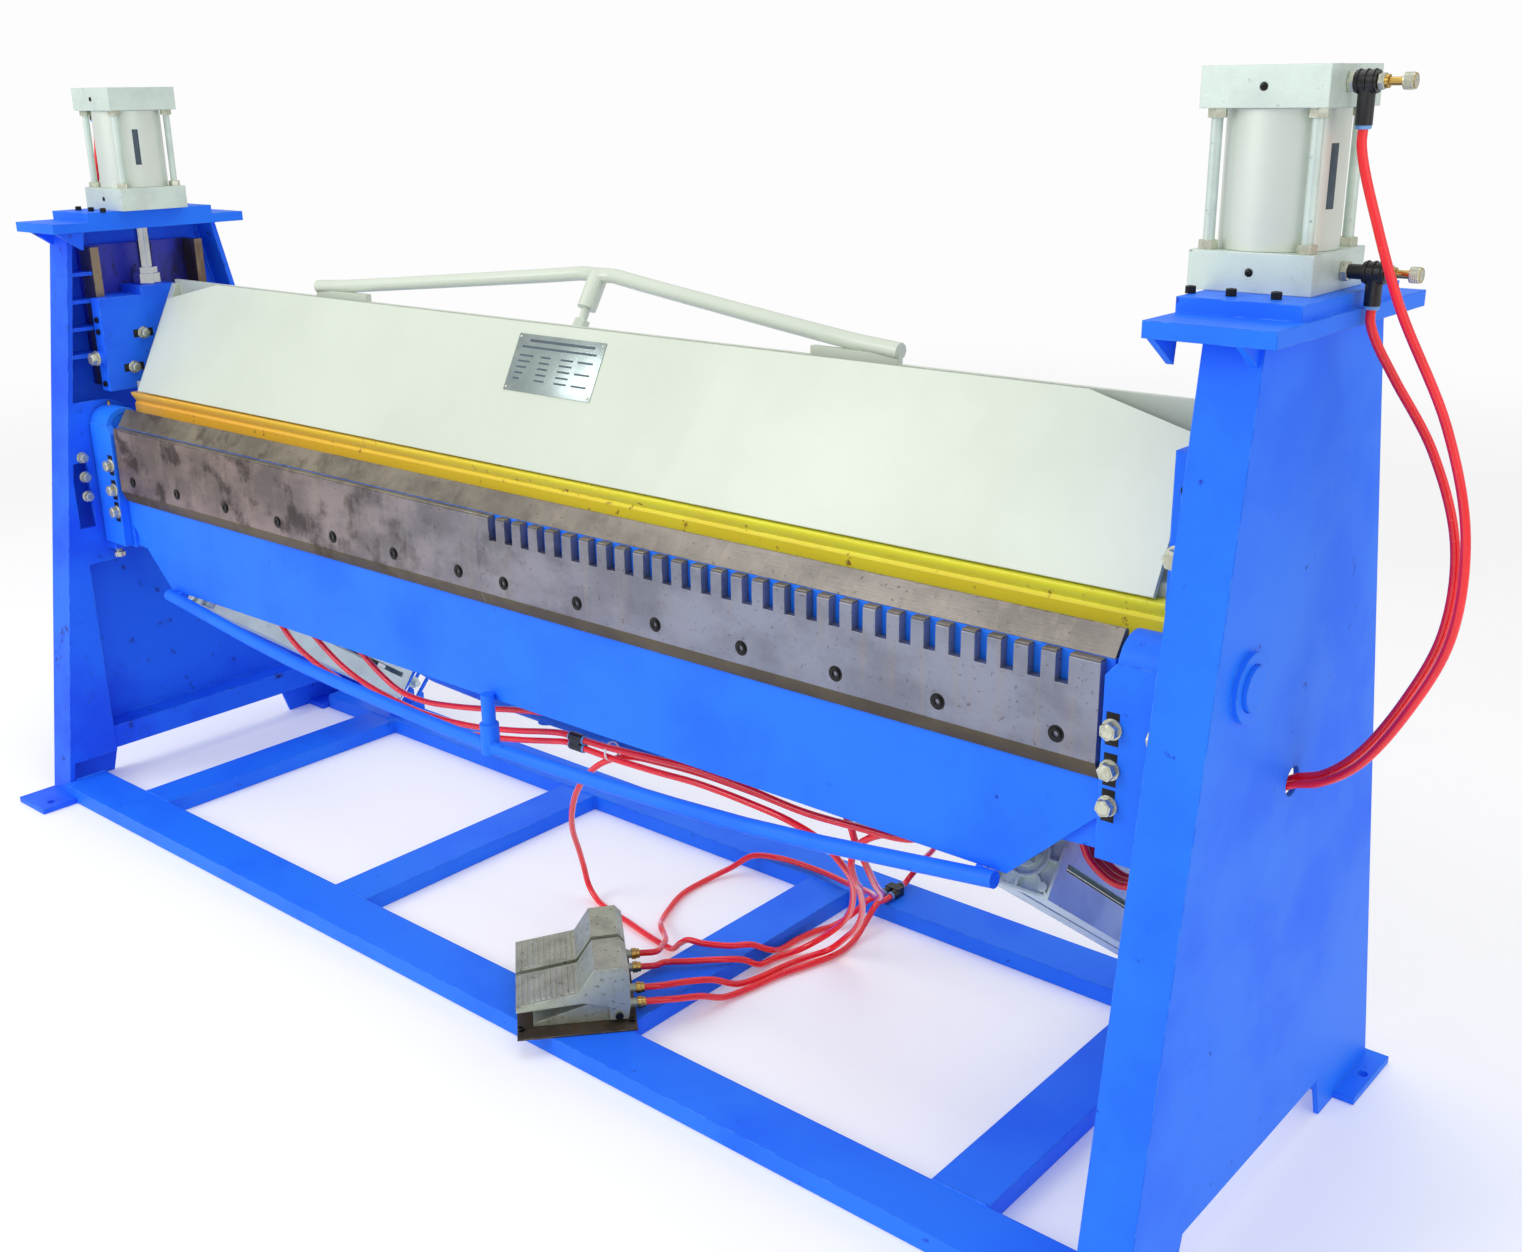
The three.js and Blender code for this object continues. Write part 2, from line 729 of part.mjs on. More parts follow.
const HOSES = {
  hose_clamp_top_right: [
    ...OUTSIDE_TOP,
    ...lane(BEHIND_LEAF, -14),
    [985, 269, 560],
    [935, 269, 500],
    [885, 269, 470],
    [777, 270, 458],
    [669, 270, 453],
    [553, 270, 460],
    [434, 270, 463],
    [336, 270, 456],
    [236, 272, 447],
    [200, 275, 443],
    [150.3, 276, 441],
  ],
  hose_clamp_bottom_right: [
    ...OUTSIDE_BOTTOM,
    ...lane(BEHIND_LEAF, 0),
    [985, 283, 560],
    [935, 283, 500],
    [885, 283, 470],
    [840, 283, 460],
    [800, 281, 442],
    [770, 281, 415],
    [757, 286, 380],
    [742, 318, 330],
    [715, 365, 290],
    [655, 455, 190],
    [600, 512, 112],
    [550, 545, 58],
    [510, 545, 18],
    [483, 505, 8],
    [470, 450, 8],
    [462, 400, 8],
    [450, 350, 12],
    [434, 300, 38],
    [416, 252, 50],
  ],
  hose_bed_right: [
    [487, 751.7, 44],
    [487, 733, 44],
    [483, 708, 47],
    [472, 672, 28],
    [450, 640, 8],
    [434, 595, 7],
    [427, 550, 7],
    [426, 500, 8],
    [428, 462, 26],
    [420, 424, 50],
    [396, 392, 53],
    [350, 368, 52],
    [318, 361, 51],
    [294, 364, 34],
    [270, 368, 12],
    [240, 373, 7],
    [193, 380, 7],
    [120, 395, 7],
    [60, 405, 7],
    [12, 418, 9],
    [-18, 425, 28],
    [-22, 418, 70],
    [-6, 392, 125],
    [20, 355, 190],
    [54, 325, 252],
    [96, 303, 315],
    [140, 292, 365],
    [175, 290, 395],
    [215, 290, 417],
    [260, 290, 432],
    [336, 289, 441],
    [434, 288, 447],
    [553, 288, 446],
    [669, 289, 441],
    [777, 292, 448],
    [840, 296, 460],
    [885, 297, 470],
    [935, 297, 500],
    [985, 297, 560],
    ...back(lane(BEHIND_LEAF, 14)),
    [1378, 424, 650],
    [1385, 440, 690],
    [1385, 440, 714.7],
  ],
  hose_union_far: [
    [150.3, 276, 425],
    [200, 275, 425],
    [240, 274, 426],
    [340, 272, 431],
    [438, 271, 437],
    [558, 271, 434],
    [640, 274, 425],
    [690, 288, 402],
    [708, 322, 352],
    [690, 376, 292],
    [626, 462, 185],
    [566, 515, 110],
    [505, 540, 48],
    [462, 520, 13],
    [440, 470, 8],
    [438, 425, 14],
    [430, 388, 38],
    [405, 348, 47],
    [368, 308, 48],
    [335, 276, 48],
  ],
  hose_far_left: [
    [296, 312, 50],
    [274, 345, 42],
    [245, 372, 31],
    [212, 397, 26],
    [183, 428, 13],
    [155, 475, 7],
    [128, 550, 7],
    [126, 630, 7],
    [146, 682, 20],
    [175, 712, 43],
    [225, 737, 45],
    [325, 745, 45],
    [430, 712, 62],
    [510, 670, 88],
    [590, 590, 135],
    [655, 510, 200],
    [700, 430, 265],
    [735, 355, 345],
    [740, 320, 400],
    [734, 308, 442],
    [716, 300, 468],
    [690, 288, 477],
    [650, 281, 478],
    [553, 280, 479],
    [434, 280, 481],
    [336, 280, 477],
    [236, 279, 471],
    [165, 280, 474],
    [90, 281, 472],
    [30, 282, 464],
    [-60, 284, 447],
    [-147, 283, 428],
    [-240, 281, 412],
    [-320, 281, 402],
    [-400, 281, 406],
    [-460, 281, 428],
    [-515, 281, 458],
    [-570, 282, 488],
    [-700, 288, 540],
    [-850, 296, 585],
    [-960, 298, 610],
    ...back(lane(BEHIND_LEAF, 14, -1)),
    [-1378, 424, 650],
    [-1385, 440, 690],
    [-1385, 440, 714.7],
  ],
  hose_clamp_top_left: [
    [117.7, 276, 425],
    [102, 276, 425],
    [67, 277, 417],
    [-50, 279, 390],
    [-171, 279, 368],
    [-317, 279, 356],
    [-475, 279, 364],
    [-596, 279, 382],
    [-691, 278, 404],
    [-755, 276, 432],
    [-800, 274, 470],
    [-860, 271, 535],
    [-940, 269, 590],
    ...back(lane(BEHIND_LEAF, -14, -1)),
    ...back(lane(OUTSIDE_TOP, 0, -1)),
  ],
  hose_clamp_bottom_left: [
    [117.7, 276, 441],
    [102, 276, 441],
    [67, 278, 435],
    [-50, 280, 408],
    [-171, 280, 386],
    [-317, 280, 375],
    [-430, 280, 382],
    [-530, 280, 398],
    [-600, 280, 420],
    [-660, 280, 450],
    [-715, 281, 482],
    [-790, 283, 535],
    [-880, 284, 580],
    [-950, 284, 604],
    ...back(lane(BEHIND_LEAF, 0, -1)),
    ...back(lane(OUTSIDE_BOTTOM, 0, -1)),
  ],
  hose_near_wye: [
    [436, 200, 47],
    [450, 250, 34],
    [460, 300, 12],
    [470, 353, 7],
    [484, 430, 7],
    [506, 500, 7],
    [520, 560, 7],
    [514, 620, 7],
    [507, 668, 26],
    [505, 706, 47],
    [505, 733, 44],
    [505, 751.7, 44],
  ],
  hose_supply: [
    [496, 797.3, 44],
    [496, 810, 44],
    [499, 822, 54],
    [510, 827, 72],
    [526, 818, 92],
    [552, 800, 124],
    [585, 775, 160],
    [630, 735, 215],
    [680, 675, 300],
    [725, 600, 405],
    [758, 530, 520],
    [774, 500, 610],
    [775, 488, 665],
    [775, 470, 690],
    [775, 450, 690],
  ],
};

// Where a valve's port ends, and the point a little way along its axis.
function portStart(valve, port, beyond) {
  const [x, z] = PORTS[port];
  const at = new THREE.Vector3(PEDALS[valve] + x, PORT_END + beyond, 0);
  at.applyAxisAngle(new THREE.Vector3(0, 0, 1), PEDAL_TURN);
  return [PEDAL_AT[0] + at.x, PEDAL_AT[1] + at.y, PEDAL_PLATE[1] + GAP + z];
}
const fromPort = (valve, port) => [portStart(valve, port, 0), portStart(valve, port, 30)];
HOSES.hose_clamp_bottom_right.push(...back(fromPort("near", 0)));
HOSES.hose_union_far.push(...back(fromPort("far", 1)));
HOSES.hose_far_left.unshift(...fromPort("far", 0));
HOSES.hose_near_wye.unshift(...fromPort("near", 1));

// Straight union joining two hoses to two.
function hoseUnion() {
  const pairs = [425, 441].map((z) => bar("X", [276, z], 9.5, 118, 150, 16));
  return join(pairs, box([122, 146], [268, 284], [420, 446]));
}

function hoseWye() {
  const heart = [496, 782, 44];
  return join(
    strut(heart, [496, 797, 44], 9),
    bar("Y", [487, 44], 8.5, 752, 770, 16),
    bar("Y", [505, 44], 8.5, 752, 770, 16),
    box([480, 512], [766, 786], [35, 53]),
  );
}

// ---------------------------------------------------------------- the machine
addPart("base_frame", baseFrame(), BLUE);
addPart("bed_beam", bedBeam(), BLUE);

for (const [hand, side] of [
  ["right", 1],
  ["left", -1],
]) {
  const half = new THREE.Group();
  half.scale.x = side;
  machine.add(half);
  const add = (name, body, material) => addPart(`${name}_${hand}`, body, material, half);
  add("column", column(), BLUE_LIGHT);
  add("guide_channel", guideChannel(), GUIDE_STEEL);
  add("cylinder_seat", cylinderSeat(), BLUE_LIGHT);
  add("pivot_pin", pivotPin(), BLUE_LIGHT);
  add("clamp_rod_cap", rodCap(), CAST_ALUMINIUM);
  add("clamp_barrel", barrel(), BARREL_ALUMINIUM);
  add("clamp_head_cap", headCap(), CAST_ALUMINIUM);
  add("clamp_piston_rod", clampPistonRod(), BRIGHT_STEEL);
  add("regulator_top", flowRegulator(347, 1568, 1443, 1520), FITTING_BLACK);
  add("regulator_bottom", flowRegulator(382, 1351, 1462, 1312), FITTING_BLACK);
  add("flow_screw_top", flowScrew(347, 1568, 1456), BRASS);
  add("flow_screw_bottom", flowScrew(382, 1351, 1475), BRASS);
  add("slide_block", slideBlock(), BLUE);
  add("hinge_arm", hingeArm(), BLUE_LIGHT);
  add("bending_bracket", bendingBracket().translate([BEND_X, 0, 0]), BLUE);

  const incline = new THREE.Group();
  incline.position.set(BEND_X, ...LEAF_PIN);
  incline.rotation.x = bendTilt;
  half.add(incline);
  addPart(`bending_rod_${hand}`, bendingRod(), BRIGHT_STEEL, incline);
  addPart(`bending_body_${hand}`, bendingBody(), CAST_ALUMINIUM, incline);
}

addPart("clamp_apron", clampApron(), CREAM);
addPart("clamp_beam", clampBeam(), CREAM);
addPart("clamp_blade", clampBlade(), YELLOW);

addPart("leaf_apron", leafApron(), BLUE);
addPart("leaf_nose_bar", noseBar(), STEEL_STAINED);
addPart("leaf_tool_plain", plainTool(), STEEL_STAINED);
addPart("leaf_tool_notched", notchedTool(), STEEL);
addPart("leaf_truss", leafTruss(), BLUE);

const footValves = new THREE.Group();
footValves.position.set(...PEDAL_AT, 0);
footValves.rotation.z = PEDAL_TURN;
machine.add(footValves);
addPart("pedal_plate", pedalPlate(), STEEL, footValves);
for (const [name, x] of Object.entries(PEDALS)) {
  const valve = new THREE.Group();
  valve.position.set(x, 0, PEDAL_PLATE[1] + GAP);
  footValves.add(valve);
  addPart(`pedal_body_${name}`, pedalBody(), PEDAL_ALUMINIUM, valve);
  addPart(`pedal_treadle_${name}`, pedalTreadle(), PEDAL_ALUMINIUM, valve);
}

addPart("hose_union", hoseUnion(), FITTING_BLACK);
addPart("hose_wye", hoseWye(), FITTING_BLACK);
for (const [name, route] of Object.entries(HOSES))
  addPart(name, bentTube(route, HOSE_R, HOSE_STEP, 8), HOSE_RED);

export default machine;
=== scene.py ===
import json
import math

import bmesh
import bpy
from mathutils import Matrix, Vector


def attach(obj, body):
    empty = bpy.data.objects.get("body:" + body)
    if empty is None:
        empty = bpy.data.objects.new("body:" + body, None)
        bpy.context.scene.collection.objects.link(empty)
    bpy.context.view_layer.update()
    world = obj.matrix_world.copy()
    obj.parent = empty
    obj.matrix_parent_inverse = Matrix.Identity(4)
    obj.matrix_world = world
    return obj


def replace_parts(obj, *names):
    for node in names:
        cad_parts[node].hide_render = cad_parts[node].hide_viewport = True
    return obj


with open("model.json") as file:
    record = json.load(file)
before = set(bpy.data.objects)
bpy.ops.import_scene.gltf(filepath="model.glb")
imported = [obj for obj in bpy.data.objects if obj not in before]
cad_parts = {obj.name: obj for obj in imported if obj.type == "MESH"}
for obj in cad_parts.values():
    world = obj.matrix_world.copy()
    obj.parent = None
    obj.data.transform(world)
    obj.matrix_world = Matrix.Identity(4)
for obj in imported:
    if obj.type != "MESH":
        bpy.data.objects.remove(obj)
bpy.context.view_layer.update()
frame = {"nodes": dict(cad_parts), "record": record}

DRAWING_MIDDLE = 397
HANDS = (("right", 1), ("left", -1))
SMOOTH_BELOW = math.radians(40)


def at(x, y, z):
    return Vector((x / 1000, (y - DRAWING_MIDDLE) / 1000, z / 1000))


# ---- camera
CAMERA_AT = (2167.7, -1581.2, 1571.8)
YAW, PITCH, ROLL = math.radians(40.66), math.radians(18.5), math.radians(-0.795)
SENSOR, LENS = 36, 38.01
SHIFT = (0.0026, -0.0013)
FARTHEST = 60


def make_camera():
    flat = math.cos(PITCH)
    ahead = Vector((-math.sin(YAW) * flat, math.cos(YAW) * flat, -math.sin(PITCH)))
    level = Vector((math.cos(YAW), math.sin(YAW), 0))
    above = level.cross(ahead)
    right = level * math.cos(ROLL) + above * math.sin(ROLL)
    up = above * math.cos(ROLL) - level * math.sin(ROLL)
    data = bpy.data.cameras.new("main_camera")
    data.sensor_width = SENSOR
    data.lens = LENS
    data.shift_x, data.shift_y = SHIFT
    data.clip_end = FARTHEST
    camera = bpy.data.objects.new("main_camera", data)
    turn = Matrix((right, up, -ahead)).transposed().to_4x4()
    camera.matrix_world = Matrix.Translation(at(*CAMERA_AT)) @ turn
    bpy.context.scene.collection.objects.link(camera)
    bpy.context.scene.camera = camera


make_camera()


# ---- shader building
def add(tree, kind, inputs=None, **settings):
    made = tree.nodes.new(kind)
    for key, value in settings.items():
        setattr(made, key, value)
    for key, value in (inputs or {}).items():
        if isinstance(value, bpy.types.NodeSocket):
            tree.links.new(value, made.inputs[key])
        else:
            made.inputs[key].default_value = value
    return made


def calc(tree, operation, first, second=0.0):
    """One step of arithmetic between two values or sockets."""
    return add(tree, "ShaderNodeMath", {0: first, 1: second}, operation=operation).outputs[0]


def blend_colours(tree, factor, first, second, mode="MIX"):
    inputs = {0: factor, 6: first, 7: second}
    return add(tree, "ShaderNodeMix", inputs, data_type="RGBA", blend_type=mode).outputs[2]


def remap(tree, value, low, high, to_low=0.0, to_high=1.0):
    """Carries a value smoothly from one range to another, and holds it at the ends."""
    inputs = {"Value": value, "From Min": low, "From Max": high}
    inputs |= {"To Min": to_low, "To Max": to_high}
    return add(tree, "ShaderNodeMapRange", inputs, interpolation_type="SMOOTHSTEP").outputs[0]


def own_space(tree):
    """The place on the piece, in its own coordinates."""
    return add(tree, "ShaderNodeTexCoord").outputs["Object"]


def new_group(name, inputs, outputs):
    tree = bpy.data.node_groups.new(name, "ShaderNodeTree")
    for label, kind, value in inputs:
        socket = tree.interface.new_socket(label, in_out="INPUT", socket_type="NodeSocket" + kind)
        socket.default_value = value
    for label, kind in outputs:
        tree.interface.new_socket(label, in_out="OUTPUT", socket_type="NodeSocket" + kind)
    return tree, tree.nodes.new("NodeGroupInput").outputs, tree.nodes.new(
        "NodeGroupOutput"
    ).inputs


def make_patches():
    """Soft-edged patches of the object's own space, as a mask."""
    inputs = [
        ("Scale", "Float", 5.0),
        ("Stretch", "Vector", (1, 1, 1)),
        ("Low", "Float", 0.45),
        ("High", "Float", 0.65),
        ("Detail", "Float", 5.0),
    ]
    tree, given, out = new_group("patches", inputs, [("Mask", "Float")])
    stretched = {"Vector": own_space(tree), "Scale": given["Stretch"]}
    place = add(tree, "ShaderNodeMapping", stretched).outputs[0]
    cloud = {
        "Vector": place, "Scale": given["Scale"], "Detail": given["Detail"], "Roughness": 0.6
    }
    value = add(tree, "ShaderNodeTexNoise", cloud).outputs[0]
    tree.links.new(remap(tree, value, given["Low"], given["High"]), out["Mask"])
    return tree


def make_edge_wear_and_highlight():
    """Edges rubbed bright, and a normal that rounds them over a small radius. The mask carries
    rubbed wear on the metals and a painted highlight on the blue and cream paints.
    """
    inputs = [("Radius", "Float", 0.002), ("Break-up", "Float", 40.0)]
    tree, given, out = new_group("edge wear and highlight", inputs, [("Mask", "Float"), ("Normal", "Vector")])
    rounded = add(tree, "ShaderNodeBevel", {"Radius": given["Radius"]}, samples=4).outputs[0]
    true = add(tree, "ShaderNodeNewGeometry").outputs["Normal"]
    facing = {0: rounded, 1: true}
    same = add(tree, "ShaderNodeVectorMath", facing, operation="DOT_PRODUCT").outputs["Value"]
    cloud = {"Vector": own_space(tree), "Scale": given["Break-up"], "Detail": 5.0}
    chips = add(tree, "ShaderNodeTexNoise", cloud).outputs[0]
    edge = remap(tree, calc(tree, "SUBTRACT", 1.0, same), 0.02, 0.16)
    tree.links.new(calc(tree, "MULTIPLY", edge, remap(tree, chips, 0.46, 0.6)), out["Mask"])
    tree.links.new(rounded, out["Normal"])
    return tree


def make_grain():
    """Fine relief: paint skin, casting skin, or lines where it is stretched."""
    inputs = [
        ("Scale", "Float", 300.0), ("Stretch", "Vector", (1, 1, 1)), ("Coarse", "Float", 0.3)
    ]
    tree, given, out = new_group("grain", inputs, [("Height", "Float")])
    stretched = {"Vector": own_space(tree), "Scale": given["Stretch"]}
    place = add(tree, "ShaderNodeMapping", stretched).outputs[0]
    small = {"Vector": place, "Scale": given["Scale"], "Detail": 3.0}
    fine = add(tree, "ShaderNodeTexNoise", small)
    wide = add(tree, "ShaderNodeTexNoise", {"Vector": place, "Scale": 9.0, "Detail": 2.0})
    height = calc(tree, "MULTIPLY", wide.outputs[0], given["Coarse"])
    tree.links.new(calc(tree, "ADD", height, fine.outputs[0]), out["Height"])
    return tree


PATCHES, EDGE_WEAR_AND_HIGHLIGHT, GRAIN = make_patches(), make_edge_wear_and_highlight(), make_grain()
EVEN = (1, 1, 1)


def place_group(tree, group, inputs):
    made = add(tree, "ShaderNodeGroup", node_tree=group)
    for key, value in inputs.items():
        made.inputs[key].default_value = value
    return made.outputs


def patches(tree, scale, low, high, detail=5.0, stretch=EVEN):
    inputs = {"Scale": scale, "Low": low, "High": high, "Detail": detail, "Stretch": stretch}
    return place_group(tree, PATCHES, inputs)["Mask"]


def put_relief(tree, shader, grain, strength, depth, normal=None):
    """Drives the shader's normal with the grain: its scale, its stretch and its coarse share."""
    scale, stretch, coarse = grain
    inputs = {"Scale": scale, "Stretch": stretch, "Coarse": coarse}
    bump = {"Height": place_group(tree, GRAIN, inputs)["Height"]}
    bump |= {"Strength": strength, "Distance": depth}
    if normal:
        bump["Normal"] = normal
    tree.links.new(add(tree, "ShaderNodeBump", bump).outputs[0], shader.inputs["Normal"])


def begin(name):
    material = bpy.data.materials.new(name)
    material.use_nodes = True
    tree = material.node_tree
    return material, tree, tree.nodes["Principled BSDF"]


def linear(red, green, blue):
    """Linear colour from an 8-bit one."""
    parts = [c / 255 for c in (red, green, blue)]
    return (*[c / 12.92 if c <= 0.04045 else ((c + 0.055) / 1.055) ** 2.4 for c in parts], 1.0)


def wear_and_highlight_finish(
    name,
    colour,
    shade,
    grime,
    rough=(0.35, 0.5),
    metal=0.0,
    patch=(4.0, 0.42, 0.68),
    spots=(38.0, 0.62, 0.74),
    grain=(330.0, EVEN, 0.3),
    relief=0.25,
    edge=None,
    radius=0.0018,
    coat=0.0,
    shine=0.5,
):
    """A finish with slow patches of shade, small spots of grime, a fine grain and tinted edges:
    rubbed wear on the metals, and a painted highlight where the edge colour is a lighter tint of a
    paint.
    """
    material, tree, shader = begin(name)
    slow, small = patches(tree, *patch), patches(tree, *spots, detail=8.0)
    tint = blend_colours(tree, slow, linear(*colour), linear(*shade))
    tint = blend_colours(tree, small, tint, linear(*grime))
    edges = place_group(tree, EDGE_WEAR_AND_HIGHLIGHT, {"Radius": radius})
    # Edge colour: rubbed wear on the metals, a painted highlight where it is a lighter tint of a
    # paint.
    if edge:
        tint = blend_colours(tree, edges["Mask"], tint, linear(*edge))
    tree.links.new(tint, shader.inputs["Base Color"])
    dull = calc(tree, "ADD", slow, small)
    tree.links.new(remap(tree, dull, 0.0, 1.6, *rough), shader.inputs["Roughness"])
    put_relief(tree, shader, grain, relief, 0.0006, edges["Normal"])
    shader.inputs["Metallic"].default_value = metal
    shader.inputs["Coat Weight"].default_value = coat
    shader.inputs["Specular IOR Level"].default_value = shine
    return material


# ---- finishes
def make_blue(name, colour, shade, grime, spots=(30.0, 0.66, 0.76)):
    # The lighter blue edge colour is a painted highlight along the edges, broken up in patches.
    return wear_and_highlight_finish(
        name, colour, shade, grime, rough=(0.46, 0.6), patch=(3.2, 0.4, 0.7), spots=spots,
        grain=(420.0, EVEN, 0.6), relief=0.22, edge=(84, 156, 254), radius=0.003, shine=0.2,
    )


BLUE_PAINT = make_blue("blue_enamel", (34, 122, 255), (28, 108, 253), (24, 52, 180))
BLUE_SCUFFED = make_blue(
    "blue_enamel_scuffed", (34, 112, 254), (26, 84, 242), (32, 42, 124), (22.0, 0.6, 0.74)
)
# The lighter cream edge colour is a painted highlight along the edges.
CREAM_PAINT = wear_and_highlight_finish(
    "cream_enamel", (208, 217, 202), (200, 209, 193), (182, 186, 172), rough=(0.32, 0.44),
    patch=(2.2, 0.35, 0.75), spots=(55.0, 0.72, 0.82), grain=(380.0, EVEN, 0.5), relief=0.12,
    edge=(240, 244, 236), coat=0.15,
)
CAST_ALUMINIUM = wear_and_highlight_finish(
    "cast_aluminium", (214, 230, 220), (200, 214, 206), (158, 166, 158), rough=(0.38, 0.52),
    metal=0.35, patch=(14.0, 0.4, 0.7), spots=(90.0, 0.64, 0.74), grain=(700.0, EVEN, 0.2),
    relief=0.35, edge=(244, 248, 246), radius=0.0022,
)
DRAWN_ALUMINIUM = wear_and_highlight_finish(
    "drawn_aluminium", (224, 232, 222), (214, 222, 212), (176, 182, 172), rough=(0.34, 0.44),
    metal=0.45, patch=(5.0, 0.35, 0.75), spots=(70.0, 0.72, 0.84),
    grain=(900.0, (1, 1, 0.04), 0.1), relief=0.16,
)
PEDAL_ALUMINIUM = wear_and_highlight_finish(
    "pedal_casting", (176, 182, 160), (156, 160, 140), (110, 110, 94), rough=(0.34, 0.54),
    metal=0.5, patch=(22.0, 0.4, 0.66), spots=(120.0, 0.58, 0.7), grain=(600.0, EVEN, 0.5),
    relief=0.5, edge=(232, 236, 222), radius=0.0022,
)
DARK_PLATE = wear_and_highlight_finish(
    "mill_scale_plate", (92, 82, 72), (66, 58, 50), (110, 74, 48), rough=(0.45, 0.7), metal=0.7,
    patch=(12.0, 0.4, 0.65), spots=(70.0, 0.55, 0.7), relief=0.5, edge=(150, 142, 130),
)
CHROMED_ROD = wear_and_highlight_finish(
    "chromed_rod", (208, 212, 216), (188, 192, 198), (120, 120, 118), rough=(0.1, 0.22),
    metal=1.0, patch=(20.0, 0.45, 0.7), spots=(120.0, 0.7, 0.8), grain=(600.0, (1, 1, 0.1), 0.1),
    relief=0.08,
)
ZINC = wear_and_highlight_finish(
    "zinc_plate", (206, 208, 190), (184, 186, 166), (132, 130, 112), rough=(0.24, 0.42),
    metal=0.7, patch=(60.0, 0.4, 0.66), spots=(240.0, 0.6, 0.72), grain=(900.0, EVEN, 0.3),
    relief=0.25, edge=(236, 238, 224), radius=0.0008,
)
BLACKENED = wear_and_highlight_finish(
    "blackened_screw", (30, 30, 32), (20, 20, 22), (62, 54, 46), rough=(0.3, 0.5), metal=0.6,
    patch=(80.0, 0.45, 0.7), spots=(260.0, 0.62, 0.74), relief=0.2, edge=(96, 94, 92),
    radius=0.0006,
)
FITTING_NYLON = wear_and_highlight_finish(
    "fitting_nylon", (22, 23, 26), (30, 31, 34), (58, 58, 56), rough=(0.3, 0.46),
    patch=(60.0, 0.4, 0.7), spots=(300.0, 0.68, 0.78), grain=(900.0, EVEN, 0.2), relief=0.2,
    radius=0.0008,
)
BRASS = wear_and_highlight_finish(
    "turned_brass", (200, 168, 92), (174, 140, 70), (110, 86, 44), rough=(0.2, 0.36), metal=1.0,
    patch=(60.0, 0.4, 0.66), spots=(260.0, 0.62, 0.74), grain=(900.0, (0.1, 1, 1), 0.1),
    relief=0.2, edge=(236, 210, 140), radius=0.0006,
)
RELEASE_BLUE = wear_and_highlight_finish(
    "release_ring_blue", (120, 170, 226), (100, 150, 210), (80, 110, 150), rough=(0.3, 0.42),
    patch=(80.0, 0.4, 0.7), spots=(300.0, 0.7, 0.8), relief=0.1, radius=0.0005,
)
TIE_WHITE = wear_and_highlight_finish(
    "tie_nylon", (236, 236, 228), (222, 222, 212), (190, 188, 176), rough=(0.35, 0.5),
    patch=(80.0, 0.4, 0.7), spots=(300.0, 0.7, 0.8), relief=0.15, radius=0.0004,
)


def make_hose_red():
    """Glossy polyurethane: slightly cloudy, with faint rubs along it."""
    material, tree, shader = begin("hose_polyurethane")
    slow = patches(tree, 14.0, 0.35, 0.7)
    rubs = patches(tree, 160.0, 0.62, 0.75, detail=6.0)
    tint = blend_colours(tree, slow, linear(255, 28, 40), linear(240, 18, 34))
    tint = blend_colours(tree, rubs, tint, linear(255, 92, 88))
    tree.links.new(tint, shader.inputs["Base Color"])
    tree.links.new(remap(tree, rubs, 0.0, 1.0, 0.2, 0.38), shader.inputs["Roughness"])
    put_relief(tree, shader, (260.0, EVEN, 1.0), 0.12, 0.0004)
    shader.inputs["Subsurface Weight"].default_value = 0.12
    shader.inputs["Subsurface Radius"].default_value = (0.01, 0.002, 0.002)
    shader.inputs["Coat Weight"].default_value = 0.4
    return material


STAIN, STREAK, PIT, RUBBED = (44, 32, 27), (150, 140, 128), (70, 42, 28), (190, 184, 176)
OILED, OILED_DARK = (84, 72, 34), (66, 54, 30)


def make_tool_steel(name, left_end, right_end, dark, light, bevel_top=None):
    """Ground bar, brown and blotched towards the left end and clean grey towards the right.
    Below bevel_top, in metres, its foot is brown with old oil."""
    material, tree, shader = begin(name)
    parts = add(tree, "ShaderNodeSeparateXYZ", {0: own_space(tree)}).outputs
    clean = remap(tree, parts["X"], left_end, right_end)
    slow = patches(tree, 5.0, 0.38, 0.62, stretch=(1, 1, 1.6))
    blots = patches(tree, 15.0, 0.5, 0.66, detail=7.0)
    runs = patches(tree, 30.0, 0.5, 0.72, stretch=(1.4, 1, 0.16))
    pits = patches(tree, 130.0, 0.6, 0.7, detail=8.0)
    brown = blend_colours(tree, slow, linear(*dark), linear(*[c * 0.7 for c in dark]))
    grey = blend_colours(tree, slow, linear(*light), linear(*[c * 0.84 for c in light]))
    tint = blend_colours(tree, clean, brown, grey)
    stained = calc(tree, "MULTIPLY", blots, calc(tree, "SUBTRACT", 1.05, clean))
    tint = blend_colours(tree, calc(tree, "MULTIPLY", stained, 0.75), tint, linear(*STAIN))
    tint = blend_colours(tree, calc(tree, "MULTIPLY", runs, 0.35), tint, linear(*STREAK))
    tint = blend_colours(tree, calc(tree, "MULTIPLY", pits, 0.5), tint, linear(*PIT))
    if bevel_top:
        foot = remap(tree, parts["Z"], bevel_top - 0.001, bevel_top + 0.001, 1.0, 0.0)
        oiled = blend_colours(tree, slow, linear(*OILED), linear(*OILED_DARK))
        tint = blend_colours(tree, calc(tree, "MULTIPLY", foot, 0.9), tint, oiled)
    edges = place_group(tree, EDGE_WEAR_AND_HIGHLIGHT, {"Radius": 0.0016})
    tint = blend_colours(tree, edges["Mask"], tint, linear(*RUBBED))
    tree.links.new(tint, shader.inputs["Base Color"])
    dull = calc(tree, "ADD", stained, pits)
    tree.links.new(remap(tree, dull, 0.0, 1.5, 0.34, 0.62), shader.inputs["Roughness"])
    put_relief(tree, shader, (500.0, (0.05, 1, 1), 0.4), 0.3, 0.0005, edges["Normal"])
    shader.inputs["Metallic"].default_value = 0.55
    return material


GROOVE = (0.902, 0.911)


